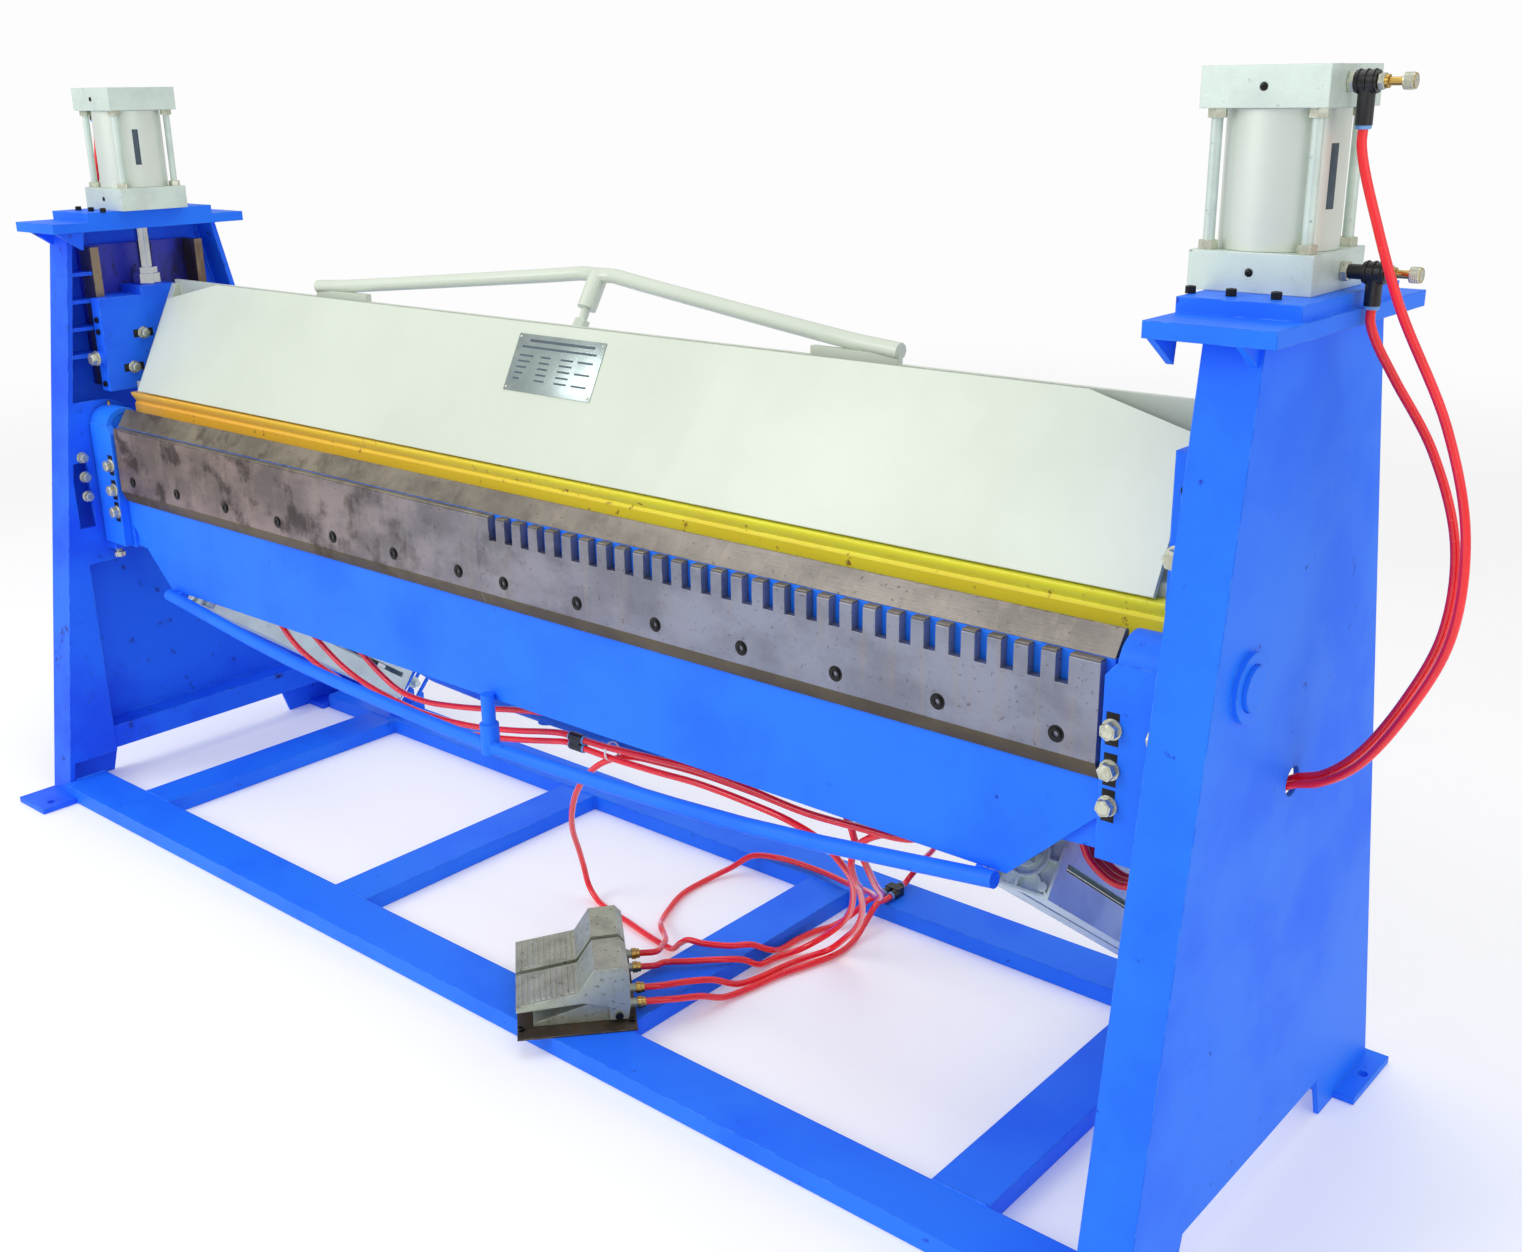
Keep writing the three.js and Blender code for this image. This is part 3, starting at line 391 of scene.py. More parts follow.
def make_blade_yellow():
    """Yellow enamel that is more orange towards the left end and, as painted shade, inside the
    groove and below it.
    """
    material, tree, shader = begin("yellow_enamel")
    parts = add(tree, "ShaderNodeSeparateXYZ", {0: own_space(tree)}).outputs
    fresh = remap(tree, parts["X"], -1.2, 0.7)
    slow = patches(tree, 6.0, 0.4, 0.66, stretch=(1, 3, 3))
    rubs = patches(tree, 60.0, 0.62, 0.72, detail=8.0)
    tint = blend_colours(tree, fresh, linear(255, 196, 62), linear(255, 252, 66))
    tint = blend_colours(tree, calc(tree, "MULTIPLY", slow, 0.2), tint, linear(250, 206, 46))
    # Below the groove's top the yellow is blended towards orange: painted shade.
    groove_shade = remap(tree, parts["Z"], *GROOVE, 1.0, 0.0)
    tint = blend_colours(tree, calc(tree, "MULTIPLY", groove_shade, 0.25), tint, linear(232, 156, 40))
    tint = blend_colours(tree, rubs, tint, linear(150, 104, 40))
    edges = place_group(tree, EDGE_WEAR_AND_HIGHLIGHT, {"Radius": 0.0015})
    tint = blend_colours(
        tree, calc(tree, "MULTIPLY", edges["Mask"], 0.6), tint, linear(120, 96, 62)
    )
    tree.links.new(tint, shader.inputs["Base Color"])
    tree.links.new(remap(tree, rubs, 0.0, 1.0, 0.3, 0.55), shader.inputs["Roughness"])
    put_relief(tree, shader, (400.0, EVEN, 0.5), 0.2, 0.0005, edges["Normal"])
    shader.inputs["Coat Weight"].default_value = 0.2
    return material


WEB = (1.385, 1.397)


def make_guide_steel():
    """Machined edges under old oil, and a web that the blue paint has run over, darkened to navy
    as painted shade of the column's interior.
    """
    material, tree, shader = begin("oiled_guide_steel")
    parts = add(tree, "ShaderNodeSeparateXYZ", {0: own_space(tree)}).outputs
    web = remap(tree, calc(tree, "ABSOLUTE", parts["X"]), *WEB)
    slow = patches(tree, 12.0, 0.42, 0.64, stretch=(1, 1, 0.4))
    spots = patches(tree, 60.0, 0.58, 0.72, detail=8.0)
    steel = blend_colours(tree, slow, linear(150, 132, 112), linear(104, 86, 70))
    # Dark blue to navy on the web: the column's blue paint, darkened as painted shade of the
    # interior.
    web_paint_and_shade = blend_colours(tree, slow, linear(30, 48, 190), linear(20, 24, 90))
    tint = blend_colours(tree, calc(tree, "MULTIPLY", web, 0.92), steel, web_paint_and_shade)
    tint = blend_colours(tree, spots, tint, linear(46, 36, 44))
    tree.links.new(tint, shader.inputs["Base Color"])
    metal = calc(tree, "SUBTRACT", 0.8, calc(tree, "MULTIPLY", web, 0.75))
    tree.links.new(metal, shader.inputs["Metallic"])
    tree.links.new(remap(tree, spots, 0.0, 1.0, 0.34, 0.6), shader.inputs["Roughness"])
    put_relief(tree, shader, (500.0, (1, 1, 0.1), 0.2), 0.3, 0.0005)
    return material


GUIDE_STEEL = make_guide_steel()
HOSE_RED = make_hose_red()
TOOL_STEEL = make_tool_steel(
    "ground_tool_steel", -0.9, 0.7, (140, 122, 116), (140, 144, 162), 0.722
)
NOSE_STEEL = make_tool_steel("nose_bar_steel", -1.6, 1.0, (150, 140, 116), (128, 122, 116))
YELLOW_PAINT = make_blade_yellow()
PLATE_ETCHED = wear_and_highlight_finish(
    "etched_plate", (158, 172, 170), (140, 154, 152), (110, 120, 118), rough=(0.25, 0.4),
    metal=0.6, patch=(18.0, 0.4, 0.66), spots=(160.0, 0.64, 0.76),
    grain=(900.0, (0.05, 1, 1), 0.1), relief=0.2, edge=(216, 222, 220), radius=0.0006,
)
PLATE_INK = wear_and_highlight_finish(
    "plate_ink", (66, 84, 96), (56, 72, 84), (96, 110, 116), rough=(0.4, 0.5),
    patch=(60.0, 0.4, 0.66), spots=(260.0, 0.62, 0.76), relief=0.1, radius=0.0003,
)

SLOT_FINISH = {
    "blue_paint": BLUE_PAINT,
    "cream_paint": CREAM_PAINT,
    "yellow_paint": YELLOW_PAINT,
    "tool_steel": TOOL_STEEL,
    "guide_steel": GUIDE_STEEL,
    "bright_steel": CHROMED_ROD,
    "cast_aluminium": CAST_ALUMINIUM,
    "barrel_aluminium": DRAWN_ALUMINIUM,
    "pedal_aluminium": PEDAL_ALUMINIUM,
    "black_plastic": FITTING_NYLON,
    "brass": BRASS,
    "red_hose": HOSE_RED,
}
NODE_FINISH = {
    "pedal_plate": DARK_PLATE,
    "leaf_nose_bar": NOSE_STEEL,
    "column_left": BLUE_SCUFFED,
    "slide_block_left": BLUE_SCUFFED,
}


# ---- mesh building
def settle(name, bm, material, body):
    """Turns a finished bmesh into a piece that rides on a body."""
    for face in bm.faces:
        face.smooth = True
    mesh = bpy.data.meshes.new(name)
    bm.to_mesh(mesh)
    bm.free()
    if "custom_normal" in mesh.attributes:
        mesh.attributes.remove(mesh.attributes["custom_normal"])
    mesh.set_sharp_from_angle(angle=SMOOTH_BELOW)
    mesh.materials.append(material)
    piece = bpy.data.objects.new(name, mesh)
    bpy.context.scene.collection.objects.link(piece)
    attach(piece, body)
    return piece


def stood_on(axis):
    """Rotation that stands a shape built along +Z on an axis."""
    return Vector((0, 0, 1)).rotation_difference(Vector(axis)).to_matrix().to_4x4()


def turn_to(centre, axis, roll=0.0):
    """Matrix that stands a shape on an axis at a place on the drawing."""
    roll = Matrix.Rotation(math.radians(roll), 4, "Z")
    return Matrix.Translation(at(*centre)) @ stood_on(axis) @ roll


def lathe(profile, steps=32):
    """Spins (radius, height) points in millimetres round Z."""
    bm = bmesh.new()
    verts = [bm.verts.new((radius / 1000, 0, height / 1000)) for radius, height in profile]
    edges = [bm.edges.new(pair) for pair in zip(verts, verts[1:])]
    about = {"cent": (0, 0, 0), "axis": (0, 0, 1), "angle": math.tau}
    bmesh.ops.spin(bm, geom=verts + edges, steps=steps, use_merge=True, **about)
    bmesh.ops.remove_doubles(bm, verts=bm.verts, dist=1e-6)
    bmesh.ops.recalc_face_normals(bm, faces=bm.faces)
    return bm


def take_in(bm, other, place):
    """Adds a placed copy of another bmesh."""
    copy = bpy.data.meshes.new("copy")
    other.to_mesh(copy)
    copy.transform(place)
    bm.from_mesh(copy)
    bpy.data.meshes.remove(copy)


def join(bm, other):
    """Adds another bmesh where it stands, and frees it."""
    take_in(bm, other, Matrix())
    other.free()


def scatter(name, made, places, material, body):
    """One piece holding a copy of the same small shape at each place."""
    whole = bmesh.new()
    for place in places:
        take_in(whole, made, place)
    made.free()
    return settle(name, whole, material, body)


def block(low, high, round_by):
    """A box between two corners of the drawing, with its edges rounded."""
    bm = bmesh.new()
    low, high = at(*low), at(*high)
    size = Matrix.Diagonal((*(high - low), 1))
    bmesh.ops.create_cube(bm, size=1, matrix=Matrix.Translation((low + high) / 2) @ size)
    if round_by:
        rounding = {"offset": round_by / 1000, "segments": 2, "profile": 0.5}
        bmesh.ops.bevel(bm, geom=bm.edges[:], affect="EDGES", material=-1, **rounding)
    return bm


def scatter_blocks(name, corners, round_by, material, body):
    """One piece holding a rounded box for each pair of corners."""
    whole = bmesh.new()
    for low, high in corners:
        join(whole, block(low, high, round_by))
    return settle(name, whole, material, body)


def hexagon(across, height, chamfer):
    """Hexagonal prism standing on Z, with its top corners turned off."""
    bm = bmesh.new()
    radius = across / math.sqrt(3) / 1000
    lift = Matrix.Translation((0, 0, height / 2000))
    ends = {"cap_ends": True, "segments": 6, "radius1": radius, "radius2": radius}
    bmesh.ops.create_cone(bm, depth=height / 1000, matrix=lift, **ends)
    rim = [e for e in bm.edges if all(v.co.z > height / 1000 - 1e-6 for v in e.verts)]
    shape = {"offset": chamfer / 1000, "segments": 2, "profile": 0.5}
    bmesh.ops.bevel(bm, geom=rim, affect="EDGES", material=-1, **shape)
    return bm


def hex_bolt(across, head, washer, thick):
    """Hexagon head on a round washer, with the shallow dish that a forged head has."""
    bm = bmesh.new()
    rim = [(washer, 0), (washer, thick * 0.7), (washer - 0.6, thick)]
    join(bm, lathe([(0, 0), *rim, (0, thick)]))
    body = hexagon(across, head, across * 0.05)
    take_in(bm, body, Matrix.Translation((0, 0, thick / 1000)))
    body.free()
    lip, bowl = across * 0.38, across * 0.25
    dish = lathe([(0, -0.1), (across * 0.4, -0.1), (lip, 0.5), (bowl, 0.6), (0, 0.35)], 24)
    take_in(bm, dish, Matrix.Translation((0, 0, (thick + head) / 1000)))
    dish.free()
    return bm


def socket_screw(radius, height, key):
    """Round head with a hexagon socket sunk in it."""
    wall = [(radius, 0), (radius, height - 0.8), (radius - 0.8, height), (key + 0.4, height)]
    return lathe([(0, 0), *wall, (key, height - 0.5), (key, height - 4), (0, height - 4.6)], 24)


THREAD_PITCH = 1.5


def stud_nut(across, height, stud, reach):
    """Nut with the end of its stud standing out of it."""
    bm = hexagon(across, height, across * 0.05)
    turns = [(stud, 0)]
    for i in range(int(reach / THREAD_PITCH)):
        crest = height + i * THREAD_PITCH
        turns += [(stud, crest), (stud - 0.6, crest + THREAD_PITCH / 2)]
    top = height + reach
    join(bm, lathe([(0, 0), *turns, (stud - 1, top), (0, top)], 20))
    return bm


RIPPLE = 2.5


def bead(bm, start, end, radius, seed):
    """Weld bead between two places: a row of overlapping ripples."""
    start, end = at(*start), at(*end)
    along = end - start
    count = max(3, int(along.length * 1000 / RIPPLE))
    place = Matrix.Translation(start) @ stood_on(along.normalized())
    first = {"cap_ends": True, "segments": 8, "radius": radius * 0.5 / 1000}
    made = bmesh.ops.create_circle(bm, matrix=place, **first)
    loop = list({e for v in made["verts"] for e in v.link_edges})
    size = radius * 0.5
    for i in range(1, count + 1):
        grown = bmesh.ops.extrude_edge_only(bm, edges=loop)["geom"]
        verts = [g for g in grown if isinstance(g, bmesh.types.BMVert)]
        loop = [g for g in grown if isinstance(g, bmesh.types.BMEdge)]
        bmesh.ops.translate(bm, verts=verts, vec=along / count)
        ripple = (1.0 if i % 2 else 0.84) + 0.07 * math.sin(seed + i * 1.7)
        wide = radius * (0.5 if i == count else ripple)
        centre = start + along * i / count
        there = Matrix.Translation(-centre)
        bmesh.ops.scale(bm, verts=verts, vec=(wide / size,) * 3, space=there)
        size = wide
    bmesh.ops.contextual_create(bm, geom=loop)


BEAD_RADIUS = 3.5


def weld(name, runs, body, material=BLUE_PAINT):
    """One piece holding a bead for each pair of places."""
    bm = bmesh.new()
    for i, (start, end) in enumerate(runs):
        bead(bm, start, end, BEAD_RADIUS, i)
    bmesh.ops.recalc_face_normals(bm, faces=bm.faces)
    return settle(name, bm, material, body)


# ---- air hoses
def moved_back(points, by):
    return [(x, y + by, z) for x, y, z in points]


# Stretches that more than one hose shares: in through the column and under the hub, down from
# the clamp cylinder's elbows, and up to the column's air block.
UNDER_HUB = [
    (1352, 371, 590), (1300, 348, 530), (1255, 328, 492), (1212, 316, 481), (1172, 308, 508),
    (1154, 292, 570), (1132, 274, 615), (1083, 270, 640), (1035, 270, 622),
]
DOWN_FROM_TOP = [
    (1443, 347, 1519.7), (1443, 347, 1500), (1448, 348, 1475), (1464, 350, 1425),
    (1505, 354, 1316), (1569, 374, 1177), (1602, 388, 1045), (1599, 393, 915), (1560, 394, 811),
    (1504, 395, 719), (1455, 396, 680), (1416, 396, 666), (1380, 386, 640), *UNDER_HUB,
]
DOWN_FROM_BOTTOM = [
    (1462, 382, 1311.7), (1462, 382, 1294), (1469, 388, 1270), (1492, 400, 1225),
    (1545, 408, 1140), (1584, 410, 1030), (1583, 411, 915), (1547, 411, 815), (1496, 411, 727),
    (1452, 411, 686), (1416, 411, 671), (1382, 402, 645), *moved_back(UNDER_HUB, 14),
]
UP_TO_BED = [
    *moved_back(reversed(UNDER_HUB), 28), (1378, 424, 650), (1385, 440, 690), (1385, 440, 714.7),
]


def on_left(points):
    return [(-x, y, z) for x, y, z in points]


# Each hose's name and length in metres, with its route.
ROUTES = {
    ("hose_clamp_top_right", 2.49): [
        *DOWN_FROM_TOP, (985, 269, 560), (935, 269, 500), (885, 269, 470), (777, 270, 458),
        (669, 270, 453), (553, 270, 460), (434, 270, 463), (336, 270, 456), (236, 272, 447),
        (200, 275, 443), (150.3, 276, 441),
    ],
    ("hose_clamp_bottom_right", 2.64): [
        *DOWN_FROM_BOTTOM, (985, 283, 560), (935, 283, 500), (885, 283, 470), (840, 283, 460),
        (800, 281, 442), (770, 281, 415), (757, 286, 380), (742, 318, 330), (715, 365, 290),
        (655, 455, 190), (600, 512, 112), (550, 545, 58), (510, 545, 18), (483, 505, 8),
        (470, 450, 8), (462, 400, 8), (450, 350, 12), (434, 300, 38), (416, 252, 50),
        (401.7, 197.9, 61.6), (381.9, 175.4, 61.6),
    ],
    ("hose_bed_right", 2.86): [
        (487, 751.7, 44), (487, 733, 44), (483, 708, 47), (472, 672, 28), (450, 640, 8),
        (434, 595, 7), (427, 550, 7), (426, 500, 8), (428, 462, 26), (420, 424, 50),
        (396, 392, 53), (350, 368, 52), (318, 361, 51), (294, 364, 34), (270, 368, 12),
        (240, 373, 7), (193, 380, 7), (120, 395, 7), (60, 405, 7), (12, 418, 9), (-18, 425, 28),
        (-22, 418, 70), (-6, 392, 125), (20, 355, 190), (54, 325, 252), (96, 303, 315),
        (140, 292, 365), (175, 290, 395), (215, 290, 417), (260, 290, 432), (336, 289, 441),
        (434, 288, 447), (553, 288, 446), (669, 289, 441), (777, 292, 448), (840, 296, 460),
        (885, 297, 470), (935, 297, 500), (985, 297, 560), *UP_TO_BED,
    ],
    ("hose_union_far", 1.45): [
        (150.3, 276, 425), (200, 275, 425), (240, 274, 426), (340, 272, 431), (438, 271, 437),
        (558, 271, 434), (640, 274, 425), (690, 288, 402), (708, 322, 352), (690, 376, 292),
        (626, 462, 185), (566, 515, 110), (505, 540, 48), (462, 520, 13), (440, 470, 8),
        (438, 425, 14), (430, 388, 38), (405, 348, 47), (368, 308, 48), (335, 276, 48),
        (333.4, 258.1, 49.6), (313.5, 235.5, 49.6),
    ],
    ("hose_far_left", 3.95): [
        (292.5, 254, 61.6), (312.4, 276.6, 61.6), (296, 312, 50), (274, 345, 42), (245, 372, 31),
        (212, 397, 26), (183, 428, 13), (155, 475, 7), (128, 550, 7), (126, 630, 7),
        (146, 682, 20), (175, 712, 43), (225, 737, 45), (325, 745, 45), (430, 712, 62),
        (510, 670, 88), (590, 590, 135), (655, 510, 200), (700, 430, 265), (735, 355, 345),
        (740, 320, 400), (734, 308, 442), (716, 300, 468), (690, 288, 477), (650, 281, 478),
        (553, 280, 479), (434, 280, 481), (336, 280, 477), (236, 279, 471), (165, 280, 474),
        (90, 281, 472), (30, 282, 464), (-60, 284, 447), (-147, 283, 428), (-240, 281, 412),
        (-320, 281, 402), (-400, 281, 406), (-460, 281, 428), (-515, 281, 458), (-570, 282, 488),
        (-700, 288, 540), (-850, 296, 585), (-960, 298, 610), *on_left(UP_TO_BED),
    ],
    ("hose_clamp_top_left", 2.77): [
        (117.7, 276, 425), (102, 276, 425), (67, 277, 417), (-50, 279, 390), (-171, 279, 368),
        (-317, 279, 356), (-475, 279, 364), (-596, 279, 382), (-691, 278, 404), (-755, 276, 432),
        (-800, 274, 470), (-860, 271, 535), (-940, 269, 590), *on_left(reversed(DOWN_FROM_TOP)),
    ],
    ("hose_clamp_bottom_left", 2.53): [
        (117.7, 276, 441), (102, 276, 441), (67, 278, 435), (-50, 280, 408), (-171, 280, 386),
        (-317, 280, 375), (-430, 280, 382), (-530, 280, 398), (-600, 280, 420), (-660, 280, 450),
        (-715, 281, 482), (-790, 283, 535), (-880, 284, 580), (-950, 284, 604),
        *on_left(reversed(DOWN_FROM_BOTTOM)),
    ],
    ("hose_near_wye", 0.63): [
        (402.9, 156.9, 49.6), (422.7, 179.4, 49.6), (436, 200, 47), (450, 250, 34),
        (460, 300, 12), (470, 353, 7), (484, 430, 7), (506, 500, 7), (520, 560, 7), (514, 620, 7),
        (507, 668, 26), (505, 706, 47), (505, 733, 44), (505, 751.7, 44),
    ],
    ("hose_supply", 0.86): [
        (496, 797.3, 44), (496, 810, 44), (499, 822, 54), (510, 827, 72), (526, 818, 92),
        (552, 800, 124), (585, 775, 160), (630, 735, 215), (680, 675, 300), (725, 600, 405),
        (758, 530, 520), (774, 500, 610), (775, 488, 665), (775, 470, 690), (775, 450, 690),
    ],
}
HOSE_RADIUS = 0.006
STRETCH_STEPS = 9
HOSE_JOINTS = {"hose_union_far": "hose_union", "hose_near_wye": "hose_wye"}


def smooth_route(points):
    """Centripetal spline through the route's points, sampled evenly."""
    points = [at(*p) for p in points]
    points = [points[0] * 2 - points[1], *points, points[-1] * 2 - points[-2]]
    line = []
    for p0, p1, p2, p3 in zip(points, points[1:], points[2:], points[3:]):
        t1 = math.sqrt((p1 - p0).length)
        t2 = t1 + math.sqrt((p2 - p1).length)
        t3 = t2 + math.sqrt((p3 - p2).length)
        for i in range(STRETCH_STEPS):
            t = t1 + (t2 - t1) * i / STRETCH_STEPS
            a1 = p0 * ((t1 - t) / t1) + p1 * (t / t1)
            a2 = p1 * ((t2 - t) / (t2 - t1)) + p2 * ((t - t1) / (t2 - t1))
            a3 = p2 * ((t3 - t) / (t3 - t2)) + p3 * ((t - t2) / (t3 - t2))
            b1 = a1 * ((t2 - t) / t2) + a2 * (t / t2)
            b2 = a2 * ((t3 - t) / (t3 - t1)) + a3 * ((t - t1) / (t3 - t1))
            line.append(b1 * ((t2 - t) / (t2 - t1)) + b2 * ((t - t1) / (t2 - t1)))
    line.append(points[-2])
    return line


RECORD = frame["record"]
SLOTS = {part["node"]: part["material_slot"] for part in RECORD["subparts"]}
MEMBERS = RECORD["behaviour"]["bodies"]
BODIES = {node: body for body, members in MEMBERS.items() for node in members}


def finish_node(node):
    """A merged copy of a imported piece, so that its round parts shade round."""
    bm = bmesh.new()
    bm.from_mesh(frame["nodes"][node].data)
    bmesh.ops.remove_doubles(bm, verts=bm.verts, dist=1e-5)
    slot = SLOTS[node]
    material = NODE_FINISH.get(node, SLOT_FINISH[slot])
    piece = settle(node + "_finished", bm, material, BODIES[node])
    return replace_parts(piece, node)


def make_hose(node, route):
    """A hose along its route, with the joint piece it carries."""
    line = smooth_route(route)
    curve = bpy.data.curves.new(node + "_tube", "CURVE")
    curve.dimensions = "3D"
    curve.bevel_depth = HOSE_RADIUS
    curve.bevel_resolution = 4
    curve.use_fill_caps = True
    spline = curve.splines.new("POLY")
    spline.points.add(len(line) - 1)
    for point, place in zip(spline.points, line):
        point.co = (*place, 1)
    spline.use_smooth = True
    curve.materials.append(HOSE_RED)
    hose = bpy.data.objects.new(node + "_tube", curve)
    bpy.context.scene.collection.objects.link(hose)
    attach(hose, "frame")
    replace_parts(hose, node)
    [finish_node(HOSE_JOINTS[node])] if node in HOSE_JOINTS else ()


for (node, length), route in ROUTES.items():
    make_hose(node, route)


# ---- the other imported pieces
hose_nodes = {node for node, _ in ROUTES} | set(HOSE_JOINTS.values())
for node in frame["nodes"]:
    if node not in hose_nodes:
        finish_node(node)


# ---- fasteners on the leaf
TOOL_SCREWS = (-1181, -998, -810, -620, -433, -242, -54, 69, 255, 438, 622, 806, 987, 1177)
TOOL_SCREW_HEIGHT = 749
ARM_BOLT_ACROSS, ARM_BOLT_HEIGHTS = 1261, (778, 721, 670)


def leaf_fasteners():
    front = (0, -1, 0)
    places = [turn_to((x, 183, TOOL_SCREW_HEIGHT), front, x % 60) for x in TOOL_SCREWS]
    scatter("tool_screws", socket_screw(8.5, 5.5, 4.2), places, BLACKENED, "leaf")
    wells = [turn_to((x, 180.2, TOOL_SCREW_HEIGHT), front) for x in TOOL_SCREWS]
    ring = lathe([(8.6, 0), (12.4, 0), (12.4, 0.4), (8.6, 0.4), (8.6, 0)], 28)
    scatter("tool_screw_wells", ring, wells, BLACKENED, "leaf")
    arms = [(s * ARM_BOLT_ACROSS, 176, z) for _, s in HANDS for z in ARM_BOLT_HEIGHTS]
    places = [turn_to(centre, front, i * 23) for i, centre in enumerate(arms)]
    scatter("arm_bolts", hex_bolt(22, 12, 15, 3), places, ZINC, "leaf")
    slots = [((x - 9.5, 175.4, z - 23), (x + 9.5, 176.4, z + 23)) for x, _, z in arms]
    scatter_blocks("arm_bolt_slots", slots, 0.3, BLACKENED, "leaf")
    nipples = [turn_to((s * 1320, 222, 902), (0, 0, 1)) for _, s in HANDS]
    tip = [(2.6, 5), (2.2, 7), (3.2, 8.5), (3.2, 10), (1.6, 11.6), (0, 12)]
    nipple = lathe([(0, 0), (4, 0), (4, 4), *tip], 20)
    scatter("hub_grease_nipples", nipple, nipples, BRASS, "leaf")


leaf_fasteners()


TOOTH_PITCH = 42.0


def seam_packing():
    """Dark packing strips that close the gap between the tools' tops and the nose bar."""
    teeth = [(57 + i * TOOTH_PITCH, 79 + i * TOOTH_PITCH) for i in range(27)]
    runs = [(-1236, 6.5), (8, 37), *teeth, (1191, 1236)]
    strips = [((left, 181.6, 862.1), (right, 196, 865.2)) for left, right in runs]
    scatter_blocks("tool_seam_packing", strips, 0.4, NOSE_STEEL, "leaf")


seam_packing()


# ---- fasteners on the clamping beam
BLOCK_FACE = 1300
BLOCK_BOLTS = ((318, 1057, 10), (285, 983, 35))


def clamp_fasteners():
    for hand, s in HANDS:
        face = s * BLOCK_FACE
        bolts = [turn_to((face, y, z), (-s, 0, 0), turn) for y, z, turn in BLOCK_BOLTS]
        bolt = hex_bolt(19, 11, 14, 2.5)
        scatter(f"block_bolts_{hand}", bolt, bolts, ZINC, "clamp")
        slots = [
            ((face - 0.6, y - 24, z - 9), (face + 0.6, y + 24, z + 9)) for y, z, _ in BLOCK_BOLTS
        ]
        scatter_blocks(f"block_slots_{hand}", slots, 0.3, BLACKENED, "clamp")
        edge = [turn_to((s * 1318, 222, z), (0, -1, 0), z) for z in (1094, 1068, 951)]
        jack = [turn_to((s * 1318, 208.4, 1010), (0, -1, 0), 20)]
        bolt, screw = hex_bolt(24.4, 12.8, 17, 3), socket_screw(6.5, 5, 3.2)
        scatter(f"gib_jack_{hand}", bolt, jack, ZINC, "clamp")
        scatter(f"gib_screws_{hand}", screw, edge, BLACKENED, "clamp")


clamp_fasteners()


# ---- nameplate on the apron
APRON_FOOT, APRON_HEAD = (262, 930), (388, 1171)


def slope_point(x, up, out=0.0):
    """A place on the apron's front: across, up the slope and off its face."""
    length = math.dist(APRON_FOOT, APRON_HEAD)
    dy, dz = ((head - foot) / length for foot, head in zip(APRON_FOOT, APRON_HEAD))
    return (x, APRON_FOOT[0] + dy * up - dz * out, APRON_FOOT[1] + dz * up + dy * out)


def slope_block(left, right, low, high, out, thick, round_by):
    """A box lying on the apron's front, given by its sides, its ends up the slope and its skin."""
    foot, head = (left, DRAWING_MIDDLE + low, out), (right, DRAWING_MIDDLE + high, out + thick)
    bm = block(foot, head, round_by)
    lean = math.atan2(APRON_HEAD[1] - APRON_FOOT[1], APRON_HEAD[0] - APRON_FOOT[0])
    place = Matrix.Translation(at(0, *APRON_FOOT)) @ Matrix.Rotation(lean, 4, "X")
    bmesh.ops.transform(bm, matrix=place, verts=bm.verts)
    return bm


def nameplate():
    plate = slope_block(-72, 152, 142, 250, 0.1, 1.2, 0.5)
    settle("nameplate", plate, PLATE_ETCHED, "clamp")
    ink = bmesh.new()
    bars = [(-40, 128, 236, 241), (-56, 136, 224, 228)]
    for row in range(5):
        foot = 208 - row * 11
        spans = [(-56, -20 - row * 5), (0, 26), (52, 84)]
        spans += [(96, 134)] if row % 2 == 0 else []
        bars += [(left, right, foot, foot + 3.4) for left, right in spans]
    for bar in bars:
        join(ink, slope_block(*bar, 1.25, 0.15, 0.0))
    settle("nameplate_rules", ink, PLATE_INK, "clamp")
    lean = Vector(slope_point(0, 0, 1)) - Vector(slope_point(0, 0))
    corners = [(-66, 148), (146, 148), (-66, 244), (146, 244)]
    places = [turn_to(slope_point(x, up, 1.2), lean) for x, up in corners]
    rivet = lathe([(0, 0), (3, 0), (2.8, 0.8), (1.8, 1.5), (0, 1.8)], 16)
    scatter("nameplate_rivets", rivet, places, ZINC, "clamp")


nameplate()


# ---- columns and cylinders
def column_paint(hand):
    return NODE_FINISH.get(f"column_{hand}", BLUE_PAINT)


def column_fasteners():
    for hand, s in HANDS:
        heads = [turn_to((s * 1339, 150, z), (-s, 0, 0), z) for z in (700, 745, 790)]
        stop = [turn_to((s * 1318, 196, 562), (0, 0, -1), 12)]
        nut = stud_nut(22.4, 11, 8, 0)
        scatter(f"stop_bolt_{hand}", nut, stop, ZINC, "frame")
        shank = [turn_to((s * 1318, 196, 561), (0, 0, 1))]
        crests = [(7.2 + i % 2 * 0.7, i * 0.9) for i in range(1, 12)]
        thread = lathe([(7.2, 0), *crests, (7.2, 10.8)], 24)
        scatter(f"stop_thread_{hand}", thread, shank, ZINC, "frame")
        bolt = hex_bolt(19, 11, 13, 2.5)
        scatter(f"bearing_bolts_{hand}", bolt, heads, ZINC, "frame")
        seat = [turn_to((s * x, 255, 1328), (0, 0, 1)) for x in (1288, 1340, 1396)]
        screw = socket_screw(6.5, 9, 3.4)
        scatter(f"seat_screws_{hand}", screw, seat, BLACKENED, "frame")
        flange = [turn_to((s * x, 230, 1309), (0, 0, 1)) for x in (1300, 1352, 1410)]
        stud = hex_bolt(13, 8, 10, 1.6)
        scatter(f"seat_studs_{hand}", stud, flange, ZINC, "frame")


column_fasteners()


GUSSET_THICK = 10
GUSSET_CORNERS = ((140, 1289.8), (204.8, 1289.8), (199, 1250))


